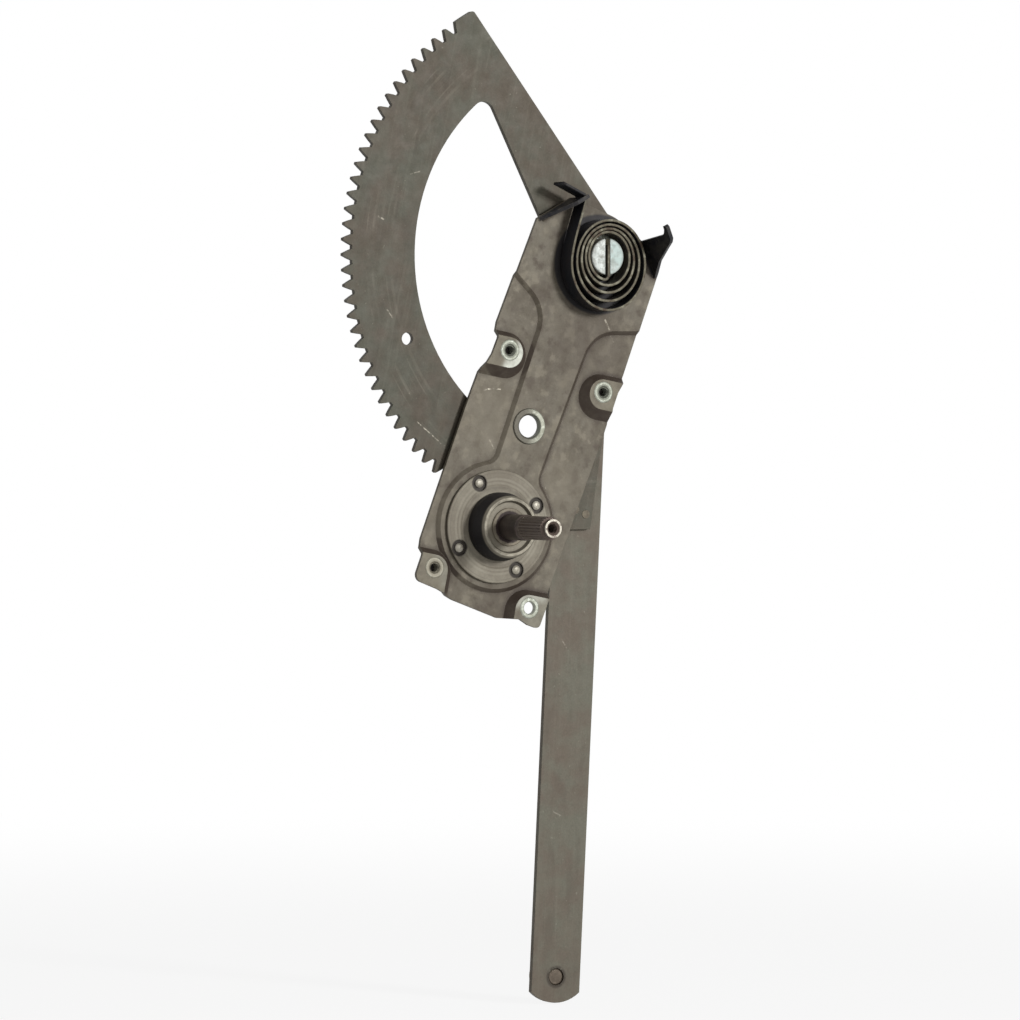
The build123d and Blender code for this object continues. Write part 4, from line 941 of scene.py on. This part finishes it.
# ---------------------------------------------------------------- surfaces
def skin(name: str, rings: np.ndarray) -> bpy.types.Object:
    """Joins rings of points into one closed shell with flat ends.

    Each ring is a closed profile, and the shell runs from the first ring to the last. The volume that
    the quads enclose, summed from the points' middle, tells which way they point; they end up outwards.

    Args:
        name: the piece's name.
        rings: stations by points by 3, in metres.

    Returns:
        The new object, smooth shaded.
    """
    stations, around = rings.shape[:2]
    index = np.arange(stations * around).reshape(stations, around)
    ahead = np.roll(index, -1, axis=1)
    quads = np.stack([index[:-1], ahead[:-1], ahead[1:], index[1:]], axis=-1).reshape(-1, 4)
    points = rings.reshape(-1, 3)
    corners = points[quads]
    half = np.cross(corners[:, 1] - corners[:, 0], corners[:, 2] - corners[:, 0])
    rest = np.cross(corners[:, 2] - corners[:, 0], corners[:, 3] - corners[:, 0])
    volume = float(np.sum((corners[:, 0] - points.mean(axis=0)) * (half + rest)))
    ends = [index[0][::-1].tolist(), index[-1].tolist()]
    faces = quads.tolist() + ends
    if volume < 0.0:
        faces = [face[::-1] for face in faces]
    mesh = bpy.data.meshes.new(name)
    mesh.from_pydata(points.tolist(), [], faces)
    mesh.shade_smooth()
    mesh.validate()
    piece = bpy.data.objects.new(name, mesh)
    bpy.context.collection.objects.link(piece)
    return piece


def bench(across: np.ndarray, up: np.ndarray, forward: np.ndarray) -> np.ndarray:
    """Turns millimetres seen from the front into the model's metres.

    Args:
        across: to the right.
        up: upwards.
        forward: towards the viewer.

    Returns:
        Points with X right, Y away and Z up.
    """
    return np.stack(np.broadcast_arrays(across, -forward, up), axis=-1) * MM


# ---------------------------------------------------------------- sub-assemblies
@dataclass
class SubAssembly:
    """A group of pieces that are made and finished together."""

    def dress(self, **finishes: Finish) -> None:
        """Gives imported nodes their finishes.

        Args:
            finishes: each node's finish, by the node's name.
        """
        for node, finish in finishes.items():
            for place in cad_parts[node].material_slots:
                place.material = finish.material()
            LOG.info("%s: %s", node, finish.name)

    def add(self, piece: bpy.types.Object, finish: Finish, slot: str) -> bpy.types.Object:
        """Gives a new piece its finish.

        Args:
            piece: the piece.
            finish: its surface.
            slot: the record's material slot; not used.

        Returns:
            The piece.
        """
        piece.data.materials.append(finish.material())
        LOG.info("%s: %d faces, %s", piece.name, len(piece.data.polygons), finish.name)
        return piece


@dataclass
class ThreadedHole(SubAssembly):
    """Crests of a cut thread on a hole's wall.

    Attributes:
        name: the piece's name.
        centre: X and Z of the hole.
        mouth: how far forward the hole opens.
        length: how deep the thread runs.
        radius: of the hole's wall.
        pitch: of the thread.
        crest: how far the crests stand in from the wall.
        sunk: how far the thread's root is let into the wall.
        fill: share of the pitch that the root takes.
        run_out: radians over which either end fades.
        steps: stations in each turn.
    """

    name: str
    centre: Spot
    mouth: float
    length: float
    radius: float = 2.5
    pitch: float = 1.0
    crest: float = 0.28
    sunk: float = 0.03
    fill: float = 0.86
    run_out: float = 1.2
    steps: int = 28

    def build(self, body: str, finish: Finish, slot: str) -> bpy.types.Object:
        """Carries a blunt triangle down a helix, which fades at both ends.

        Args:
            body: what the thread turns or stays with.
            finish: its surface.
            slot: the record's material slot.

        Returns:
            The thread.
        """
        turns = (self.length - self.pitch) / self.pitch
        turned = np.linspace(0.0, 2.0 * math.pi * turns, int(turns * self.steps))[:, None]
        fade = np.minimum(1.0, np.minimum(turned, turned[::-1]) / self.run_out + 0.05)
        shoulder = self.crest * 0.85
        inward = np.array([-self.sunk, -self.sunk, shoulder, self.crest, shoulder])[None, :]
        along = np.array([0.5, -0.5, -0.09, 0.0, 0.09])[None, :] * self.pitch * self.fill
        radius = self.radius - np.where(inward > 0, inward * fade, inward)
        down = self.mouth - self.pitch / 2 - self.pitch * turned / (2.0 * math.pi) + along
        across = self.centre[0] + radius * np.cos(turned)
        up = self.centre[1] + radius * np.sin(turned)
        piece = skin(self.name, bench(across, up, down))
        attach(piece, body)
        return self.add(piece, finish, slot)


@dataclass
class NutEnd(SubAssembly):
    """The closed end of a clinch nut: a thin shallow cup across the rear of its hole.

    Attributes:
        name: the piece's name.
        centre: X and Z of the hole.
        floor: how far forward the cup's floor is; behind the pads' plane it is negative.
        radius: of the cup.
        sheet: its thickness behind the floor.
        wall: its thickness at the lip.
        dish: how much the floor rises towards the lip.
        lip: how far forward of the floor's middle the lip stands.
        tip: radius of the first and last rings.
        rings: how many the hollow face has.
        steps: points in each ring.
    """

    name: str
    centre: Spot
    floor: float = -6.5
    radius: float = 2.48
    sheet: float = 0.35
    wall: float = 0.2
    dish: float = 0.3
    lip: float = 0.5
    tip: float = 0.01
    rings: int = 9
    steps: int = 32

    def build(self, body: str, finish: Finish, slot: str) -> bpy.types.Object:
        """Turns the cup's section about the hole's axis.

        The section runs from the axis out along the hollow face, over the lip and back along the rear
        face. The hollow face rises with the square of the radius. Each point of the section becomes a
        ring, and the first and last rings are all but points.

        Args:
            body: what the cup stays with.
            finish: its surface.
            slot: the record's material slot.

        Returns:
            The cup.
        """
        share = np.linspace(0.0, 1.0, self.rings)
        out = self.tip + share * (self.radius - self.wall - self.tip)
        hollow = np.stack([out, self.floor + self.dish * share**2], axis=-1)
        back = self.floor - self.sheet
        lip = np.array([[self.radius, self.floor + self.lip], [self.radius, back]])
        rear = np.array([[self.radius * 0.5, back], [self.tip, back]])
        section = np.concatenate([hollow, lip, rear])
        turned = np.linspace(0.0, 2.0 * math.pi, self.steps, endpoint=False)[None, :]
        across = self.centre[0] + section[:, :1] * np.cos(turned)
        up = self.centre[1] + section[:, :1] * np.sin(turned)
        piece = skin(self.name, bench(across, up, section[:, 1:]))
        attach(piece, body)
        return self.add(piece, finish, slot)


@dataclass
class Mounting(SubAssembly):
    """The pressed plate, its clinch nuts and collar, and the bridge behind it.

    Attributes:
        holes: name, X and Z of the three nuts' holes.
        nut_face: how far forward the nuts' faces are.
        thread: length of their threads.
    """

    holes: tuple[tuple[str, Spot], ...] = (
        ("upper_left", UPPER_LEFT),
        ("upper_right", UPPER_RIGHT),
        ("lower_left", LOWER_LEFT),
    )
    nut_face: float = 0.3
    thread: float = 6.8
    plate: Finish = PressedPlate(
        "plate_phosphate",
        tone=srgb(105, 99, 87),
        second=srgb(93, 86, 74),
        bearing=GEAR_LINE,
        pale=srgb(119, 112, 98),
        dull=srgb(79, 70, 60),
        rubs=(
            PadRub(UPPER_LEFT, -35.0, 1.0),
            PadRub(LOWER_LEFT, 15.0, 0.15),
            PadRub(LOWER_RIGHT, -60.0, 0.1),
            PadRub(LOWER_RIGHT, 100.0, 0.45),
        ),
        scratches=(
            Scratch((-6.0, 70.9), (-2.2, 71.5), 0.55, 0.8),
            Scratch((-0.6, 71.6), (3.4, 71.2), 0.5, 0.7),
            Scratch((64.5, 107.5), (67.0, 102.6), 0.7, 0.5),
            Scratch((69.0, 99.0), (70.4, 96.2), 0.6, 0.35),
            Scratch((-3.0, 45.0), (-0.5, 40.5), 0.4, 0.35),
            Scratch((30.0, 20.0), (31.5, 12.0), 0.5, 0.3),
        ),
    )
    hidden: Finish = RolledSheet(
        "bridge_phosphate", tone=srgb(96, 90, 80), second=srgb(84, 80, 70), bearing=90.0
    )
    nuts: Finish = NutPlating(
        "nut_plating",
        tone=srgb(158, 161, 149),
        second=srgb(136, 138, 124),
        bare=srgb(206, 208, 200),
        metallic=0.4,
        roughness=0.45,
        gloss=0.3,
        mottle=3.0,
        ease=0.25,
        bloom=srgb(196, 200, 190),
        holes=(UPPER_LEFT, UPPER_RIGHT, LOWER_LEFT),
        dulled=(LOWER_LEFT,),
    )
    grimed: Finish = Finish(
        "grimed_plating", tone=srgb(70, 62, 57), second=srgb(52, 46, 42), wear=Wear.SHELTERED, mottle=2.0
    )
    collar: Finish = CollarPlating(
        "collar_plating",
        tone=srgb(146, 147, 134),
        second=srgb(124, 124, 110),
        bare=srgb(180, 180, 168),
        metallic=0.4,
        roughness=0.45,
        gloss=0.3,
        mottle=3.0,
        ease=0.25,
        bloom=srgb(180, 183, 170),
        holes=(COLLAR,),
        reach=6.9,
    )

    def build(self) -> None:
        """Dresses the group, cuts the nuts' threads and closes their rear ends."""
        self.dress(base_plate=self.plate, pinion_bridge=self.hidden)
        self.dress(fixing_nuts=self.nuts, locating_collar=self.collar)
        for name, hole in self.holes:
            thread = ThreadedHole(f"nut_thread_{name}", hole, self.nut_face, self.thread)
            thread.build("base", self.nuts, "zinc_plate")
            NutEnd(f"nut_end_{name}", hole).build("base", self.grimed, "zinc_plate")


@dataclass
class Winder(SubAssembly):
    """The brake housing, the shaft and everything on it.

    Attributes:
        shaft_tip: how far forward the shaft ends.
        mouth: how far behind that its thread starts.
        thread: the thread's length.
        bore: radius of the shaft's threaded hole.
    """

    shaft_tip: float = 60.0
    mouth: float = 1.4
    thread: float = 14.0
    bore: float = 2.5
    housing: Finish = PressedDrum(
        "housing_phosphate",
        tone=srgb(133, 127, 113),
        second=srgb(117, 110, 97),
        bare=srgb(166, 161, 146),
        mottle=9.0,
        rivets=((-10.76, 22.56), (-22.56, -10.76), (10.76, -22.56), (22.56, 10.76)),
    )
    rivet: Finish = Finish(
        "rivet_heads",
        tone=srgb(176, 171, 158),
        second=srgb(146, 140, 126),
        bare=srgb(216, 212, 200),
        metallic=0.2,
        roughness=0.4,
        wear=Wear.RUBBED,
        mottle=1.8,
    )
    bush: Finish = WornBush(
        "worn_bush",
        tone=srgb(126, 118, 103),
        second=srgb(109, 101, 88),
        bare=srgb(160, 152, 134),
        metallic=0.2,
        mottle=3.0,
    )
    shaft: Finish = OiledShaft(
        "oiled_shaft",
        tone=srgb(76, 66, 60),
        second=srgb(59, 51, 47),
        bare=srgb(166, 161, 149),
        metallic=0.15,
        roughness=0.42,
        gloss=0.25,
        mottle=5.0,
        ease=0.3,
    )
    gear: Finish = Finish(
        "hardened_gear",
        tone=srgb(74, 70, 66),
        second=srgb(56, 52, 50),
        metallic=0.5,
        roughness=0.4,
        wear=Wear.RUBBED,
        mottle=4.0,
    )
    brake: Finish = Finish(
        "brake_wire",
        tone=srgb(58, 58, 64),
        second=srgb(44, 43, 46),
        metallic=0.5,
        roughness=0.36,
        mottle=4.0,
    )
    bronze: Finish = Finish(
        "sintered_bronze",
        tone=srgb(150, 112, 70),
        second=srgb(118, 86, 54),
        bare=srgb(196, 156, 104),
        metallic=0.7,
        roughness=0.45,
        mottle=3.0,
    )

    def build(self) -> None:
        """Dresses the group and cuts the handle screw's thread."""
        self.dress(brake_housing=self.housing, housing_rivets=self.rivet, winder_shaft=self.shaft)
        self.dress(drive_dog=self.gear, pinion=self.gear, brake_spring=self.brake, shaft_clip=self.brake)
        self.dress(shaft_bush=self.bush, thrust_washer=self.bronze)
        start = self.shaft_tip - self.mouth
        thread = ThreadedHole("handle_screw_thread", SHAFT, start, self.thread, self.bore)
        thread.build("winder", self.shaft, "dark_steel")


@dataclass
class Pivot(SubAssembly):
    """The stud that the lift turns on, with its bush and washer."""

    stud: Finish = SlottedHead(
        "bright_stud",
        tone=srgb(204, 208, 204),
        second=srgb(172, 178, 174),
        bare=srgb(214, 218, 214),
        metallic=0.15,
        roughness=0.5,
        gloss=0.25,
        mottle=3.6,
        relief=0.006,
        axis=PIVOT,
    )
    bronze: Finish = Winder.bronze
    washer: Finish = ZincPlate(
        "zinc_plating",
        tone=srgb(160, 163, 152),
        second=srgb(138, 140, 127),
        bare=srgb(200, 202, 194),
        metallic=0.4,
        roughness=0.42,
        mottle=3.0,
        ease=0.25,
    )

    def build(self) -> None:
        """Dresses the group."""
        self.dress(pivot_stud=self.stud, pivot_bush=self.bronze, pivot_washer=self.washer)


@dataclass
class Counterbalance(SubAssembly):
    """The spiral strip, held in the stud's slot and hooked on the plate's left tab.

    Lengths are millimetres and angles degrees, drawn from the front about the pivot. The strip's
    middle line is, in order: a straight tang up the slot, its bend, the spiral, the run to the
    tab, the bend round the tab and the hooked end.

    Attributes:
        thickness: of the strip.
        back: how far forward its rear edge is.
        front: the same of its front edge.
        corner: radius of the section's corners.
        sweep: how far round the spiral goes.
        inner: its first radius.
        outer: its last radius.
        power: how its radius grows; above 1 the inner turns lie closer together.
        stretch: how much taller than wide a turn is.
        sag: how far the last turn hangs below the stud.
        shift: how far the last turn stands to the stud's right.
        tang_rise: how far up the slot the tang goes.
        tang_bend: radius of the tang's bend.
        run_lean: how far the run's end leans to the right of upright.
        hook_centre: middle of the bend round the tab, from the pivot.
        hook_bend: its radius.
        leg_lean: how far the hooked end leans to the left of upright.
        leg: its length.
        wear: how worn the edges are on the tang, on the spiral, at the tab and on the hooked end.
        spiral_steps: stations along the spiral.
        run_steps: the same along the run.
        bend_steps: the same round the tab, and two more than round the tang's bend.
        straight_steps: the same along the tang and along the hooked end.
    """

    thickness: float = 1.4
    back: float = -0.7
    front: float = 10.2
    corner: float = 0.32
    sweep: float = 1528.0
    inner: float = 11.2
    outer: float = 22.8
    power: float = 1.25
    stretch: float = 1.1
    sag: float = 4.2
    shift: float = 1.0
    tang_rise: float = 6.0
    tang_bend: float = 2.4
    run_lean: float = 15.0
    hook_centre: Spot = (-15.32, 30.2915)
    hook_bend: float = 2.2
    leg_lean: float = 65.0
    leg: float = 13.5
    wear: tuple[float, float, float, float] = (0.8, 1.0, 0.7, 0.2)
    spiral_steps: int = 420
    run_steps: int = 22
    bend_steps: int = 16
    straight_steps: int = 6
    finish: Finish = TemperedStrip(
        "tempered_strip",
        tone=srgb(35, 37, 42),
        second=srgb(42, 40, 42),
        bare=srgb(120, 113, 98),
        metallic=0.1,
        roughness=0.5,
        gloss=0.12,
        wear=Wear.SHELTERED,
        mottle=6.0,
    )

    def spiral(self, share: np.ndarray) -> np.ndarray:
        """Points of the spiral.

        The angle falls evenly with the share and the radius grows with a power of it; each turn is a
        little taller than wide, and the outer turns hang lower than the stud.

        Args:
            share: 0 at the tang to 1 at the run.

        Returns:
            Points by 2.
        """
        start = math.degrees(math.asin(self.tang_bend / (self.inner - self.tang_bend)))
        angle = np.radians(-90.0 - start - self.sweep * share)
        growth = np.clip(share, 0.0, None) ** self.power
        radius = self.inner + (self.outer - self.inner) * growth
        across = radius * np.cos(angle) + self.shift * growth
        return np.stack([across, self.stretch * radius * np.sin(angle) - self.sag * growth], axis=-1)

    @staticmethod
    def arc(centre: np.ndarray, radius: float, bearings: np.ndarray) -> np.ndarray:
        """Points of an arc: centre plus radius times cosine and sine of each bearing in degrees."""
        turned = np.radians(bearings)
        return centre + radius * np.stack([np.cos(turned), np.sin(turned)], axis=-1)

    def middle_line(self) -> tuple[np.ndarray, np.ndarray, np.ndarray]:
        """The whole middle line, how far each point turns with the lift, and how worn its edges are.

        The run is a cubic curve that leaves the spiral along its last direction and meets the bend
        round the tab along the bend's own, both directions scaled by the distance between the ends.

        Returns:
            Points by 2 from tang to hooked end; weights, 1 in the stud and falling evenly along the
            spiral to 0 at the run; and wear, from 0 to 1.
        """
        share = np.linspace(0.0, 1.0, self.spiral_steps)
        spiral = self.spiral(share)
        first = spiral[1] - spiral[0]
        first = first / np.linalg.norm(first)
        left = np.array([-first[1], first[0]])
        centre = spiral[0] - left * self.tang_bend
        turned = math.degrees(math.atan2(left[1], left[0]))
        bend = self.arc(centre, self.tang_bend, np.linspace(0.0, turned, self.bend_steps - 2))
        tang = np.linspace([bend[0, 0], self.tang_rise], bend[0], self.straight_steps)

        lean = math.radians(self.run_lean)
        run_way = np.array([math.sin(lean), math.cos(lean)])
        bearings = np.linspace(-self.run_lean, self.leg_lean, self.bend_steps)
        hook = self.arc(np.array(self.hook_centre), self.hook_bend, bearings)
        last = spiral[-1] - spiral[-2]
        last = last / np.linalg.norm(last)
        chord = np.linalg.norm(hook[0] - spiral[-1])
        t = np.linspace(0.0, 1.0, self.run_steps)[:, None]
        run = (
            (2 * t**3 - 3 * t**2 + 1) * spiral[-1]
            + (t**3 - 2 * t**2 + t) * chord * last
            + (3 * t**2 - 2 * t**3) * hook[0]
            + (t**3 - t**2) * chord * run_way
        )
        leg_way = np.radians(90.0 + self.leg_lean)
        end = hook[-1] + self.leg * np.array([np.cos(leg_way), np.sin(leg_way)])
        leg = np.linspace(hook[-1], end, self.straight_steps)
        parts = [tang[:-1], bend[:-1], spiral, run[1:-1], hook, leg[1:]]
        weights = [np.ones(len(tang) + len(bend) - 2), 1.0 - share]
        weights.append(np.zeros(len(run) - 2 + len(hook) + len(leg) - 1))
        tang_wear, full, at_tab, at_end = self.wear
        worn = [np.full(len(weights[0]), tang_wear), np.full(len(share), full)]
        worn += [np.linspace(full, at_tab, len(run) - 2), np.linspace(at_tab, at_end, len(hook))]
        worn.append(np.full(len(leg) - 1, at_end))
        return np.concatenate(parts), np.concatenate(weights), np.concatenate(worn)

    def profile(self) -> tuple[np.ndarray, np.ndarray]:
        """Section of the strip: a rectangle with rounded corners.

        Returns:
            Points as (to the left of the line, forward), and for each how near it is to the strip's
            front or back edge, from 0 to 1.
        """
        half, r = self.thickness / 2, self.corner
        quarter = np.linspace(0.0, 90.0, 4)
        corners = []
        places = (
            (half, self.front, 0.0),
            (-half, self.front, 90.0),
            (-half, self.back, 180.0),
            (half, self.back, 270.0),
        )
        for x, y, start in places:
            centre = np.array([x - math.copysign(r, x), y + (r if y == self.back else -r)])
            corners.append(self.arc(centre, r, quarter + start))
        points = np.concatenate(corners)
        inset = np.minimum(self.front - points[:, 1], points[:, 1] - self.back)
        return points, np.clip(1.0 - inset / r, 0.0, 1.0)

    def build(self) -> None:
        """Carries the section along the middle line.
        """
        line, weights, worn = self.middle_line()
        way = np.gradient(line, axis=0)
        way /= np.linalg.norm(way, axis=1, keepdims=True)
        left = np.stack([-way[:, 1], way[:, 0]], axis=-1)
        section, rim = self.profile()
        across = PIVOT[0] + line[:, None, 0] + left[:, None, 0] * section[None, :, 0]
        up = PIVOT[1] + line[:, None, 1] + left[:, None, 1] * section[None, :, 0]
        rings = bench(across, up, section[None, :, 1])
        piece = skin("spiral_strip", rings)
        tags = piece.data.attributes.new("rim", "FLOAT", "POINT")
        tags.data.foreach_set("value", np.outer(worn, rim).ravel().astype(np.float32))
        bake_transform(piece)
        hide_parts("counterbalance_spring")
        self.add(piece, self.finish, "spring_steel")


@dataclass
class Lift(SubAssembly):
    """The toothed sector, the arm welded to it, and the pin at the arm's end."""

    sector: Finish = SectorSheet(
        "sector_phosphate",
        tone=srgb(78, 77, 66),
        second=srgb(81, 73, 62),
        bearing=78.0,
        pale=srgb(87, 85, 73),
        dull=srgb(68, 62, 53),
        scratches=(
            Scratch((-42.5, 54.2), (-29.0, 43.3), 0.45, 0.6),
            Scratch((-60.0, 112.0), (-57.0, 108.0), 0.5, 0.4),
            Scratch((-47.0, 182.0), (-41.0, 183.5), 0.5, 0.3),
            Scratch((-65.0, 160.0), (-62.0, 158.5), 0.6, 0.45),
        ),
    )
    arm: Finish = ArmSheet(
        "arm_phosphate",
        tone=srgb(100, 98, 86),
        second=srgb(97, 88, 77),
        bearing=87.0,
        pale=srgb(109, 104, 91),
        dull=srgb(83, 75, 65),
        scratches=(
            Scratch((52.0, 35.0), (54.0, 24.0), 0.5, 0.35),
            Scratch((44.0, -60.0), (46.5, -64.0), 0.5, 0.35),
            Scratch((39.0, -150.0), (43.0, -152.0), 0.5, 0.3),
        ),
    )
    weld: Finish = Finish(
        "weld_scale", tone=srgb(92, 84, 72), second=srgb(118, 110, 94), roughness=0.6, mottle=2.0
    )
    pin: Finish = Turned(
        "guide_pin_steel",
        tone=srgb(98, 88, 77),
        second=srgb(80, 71, 61),
        metallic=0.4,
        roughness=0.42,
        mottle=3.0,
        axis=GUIDE_PIN,
    )
    washer: Finish = Pivot.washer

    def build(self) -> None:
        """Dresses the group."""
        self.dress(sector_gear=self.sector, lift_arm=self.arm, arm_welds=self.weld)
        self.dress(guide_pin=self.pin, roller_washer=self.washer)


@dataclass
class Roller(SubAssembly):
    """The moulded roller that runs in the window's channel."""

    nylon: Finish = Turned(
        "moulded_nylon",
        tone=srgb(206, 200, 184),
        second=srgb(190, 182, 162),
        bare=srgb(150, 142, 124),
        metallic=0.0,
        roughness=0.5,
        gloss=0.5,
        mottle=6.0,
        axis=GUIDE_PIN,
        pitch=0.8,
    )

    def build(self) -> None:
        """Dresses the roller."""
        self.dress(guide_roller=self.nylon)


# ---------------------------------------------------------------- studio
@dataclass(frozen=True)
class Lamp:
    """A round soft lamp that faces the target. Angles are degrees, lengths metres and power watts."""

    name: str
    azimuth: float
    elevation: float
    distance: float
    size: float
    power: float


@dataclass
class Studio:
    """Pale floor, white surround, soft lamps and the camera. Lengths are metres.

    Attributes:
        target: what the camera looks at.
        azimuth: degrees to the object's right of straight in front.
        elevation: degrees above the horizon.
        distance: camera to target.
        lens: in millimetres.
        sensor: its width in millimetres.
        clip_end: how far the camera sees.
        ambient: the surround's light on the object.
        lamps: the lamps.
        floor_half: half the floor's width.
        floor_drop: how far under the object it lies.
        floor_tone: its colour.
        floor_near: share of plain white that the floor shows beside the object.
        floor_fade: distances in millimetres over which that grows to the whole.
    """

    target: tuple[float, float, float] = (0.00676, 0.0, 0.00856)
    azimuth: float = -28.0
    elevation: float = 1.0
    distance: float = 3.0
    lens: float = 204.1
    sensor: float = 36.0
    clip_end: float = 50.0
    ambient: float = 0.2
    lamps: tuple[Lamp, ...] = (
        Lamp("key", 21.0, 14.0, 3.6, 0.7, 88.0),
        Lamp("front", 4.0, 10.0, 3.6, 1.8, 14.0),
    )
    floor_half: float = 60.0
    floor_drop: float = 0.0006
    floor_tone: Colour = srgb(238, 238, 236)
    floor_near: float = 0.88
    floor_fade: tuple[float, float] = (400.0, 1500.0)

    def towards(self, azimuth: float, elevation: float) -> Vector:
        """Unit vector from the target: azimuth turns from the front to the right, elevation lifts."""
        a, e = math.radians(azimuth), math.radians(elevation)
        return Vector((math.sin(a) * math.cos(e), -math.cos(a) * math.cos(e), math.sin(e)))

    def aim(self, thing: bpy.types.Object, way: Vector, distance: float) -> None:
        """Stands a lamp or camera off the target and turns it to face the target."""
        thing.location = Vector(self.target) + way * distance
        thing.rotation_euler = way.to_track_quat("Z", "Y").to_euler()
        bpy.context.collection.objects.link(thing)

    def camera(self) -> None:
        """Makes the camera."""
        data = bpy.data.cameras.new("camera")
        data.lens = self.lens
        data.sensor_width = self.sensor
        data.clip_end = self.clip_end
        camera = bpy.data.objects.new("camera", data)
        self.aim(camera, self.towards(self.azimuth, self.elevation), self.distance)
        bpy.context.scene.camera = camera

    def light(self) -> None:
        """Makes the lamps and the surround, which is white to the camera and in reflections."""
        for lamp in self.lamps:
            data = bpy.data.lights.new(lamp.name, "AREA")
            data.shape = "DISK"
            data.size = lamp.size
            data.energy = lamp.power
            way = self.towards(lamp.azimuth, lamp.elevation)
            self.aim(bpy.data.objects.new(lamp.name, data), way, lamp.distance)
        world = bpy.data.worlds.new("surround")
        world.use_nodes = True
        graph = Graph(world.node_tree)
        strength = self.ambient + self.seen(graph) * (1.0 - self.ambient)
        shown = graph.node("ShaderNodeBackground", None, {"Color": WHITE, "Strength": strength})
        graph.node("ShaderNodeOutputWorld", None, {"Surface": shown})
        bpy.context.scene.world = world

    @staticmethod
    def seen(graph: Graph) -> Value:
        """1 for what the camera, a reflection or glass looks at, and 0 for light on the object."""
        rays = ("Is Camera Ray", "Is Glossy Ray", "Is Transmission Ray")
        camera, glossy, through = (graph.value("ShaderNodeLightPath", output=ray) for ray in rays)
        return camera | glossy | through

    def floor(self) -> None:
        """Lays the floor just under the object: pale, and fading to plain white away from it."""
        low = CAD_BOX[0][2] - self.floor_drop
        s = self.floor_half
        mesh = bpy.data.meshes.new("floor")
        corners = np.array([[-s, -s, low], [s, -s, low], [s, s, low], [-s, s, low]])
        mesh.from_pydata(corners.tolist(), [], [[0, 1, 2, 3]])
        floor = bpy.data.objects.new("floor", mesh)
        bpy.context.collection.objects.link(floor)
        material = bpy.data.materials.new("pale_floor")
        material.use_nodes = True
        graph = Graph(material.node_tree)
        inputs = {"Base Color": self.floor_tone, "Roughness": 0.8, "Specular IOR Level": 0.1}
        pale = graph.node("ShaderNodeBsdfPrincipled", None, inputs)
        white = graph.node("ShaderNodeEmission", None, {"Color": WHITE})
        away = Value(graph, graph.vector("LENGTH", graph.place(), output="Value"))
        far = away.rise(*self.floor_fade)
        share = self.seen(graph) * (self.floor_near + far * (1.0 - self.floor_near))
        shown = graph.node("ShaderNodeMixShader", None, {0: share, 1: pale, 2: white})
        graph.node("ShaderNodeOutputMaterial", None, {"Surface": shown})
        mesh.materials.append(material)

    def build(self) -> None:
        """Sets the stage."""
        bpy.context.scene.view_settings.view_transform = "Standard"
        self.camera()
        self.light()
        self.floor()


def main() -> None:
    """Dresses the sub-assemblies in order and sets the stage."""
    logging.basicConfig(level=logging.INFO, format="%(message)s")
    for group in (Mounting(), Winder(), Pivot(), Counterbalance(), Lift(), Roller()):
        group.build()
        LOG.info("%s built", type(group).__name__)
    Studio().build()


if __name__ == "__main__":
    main()
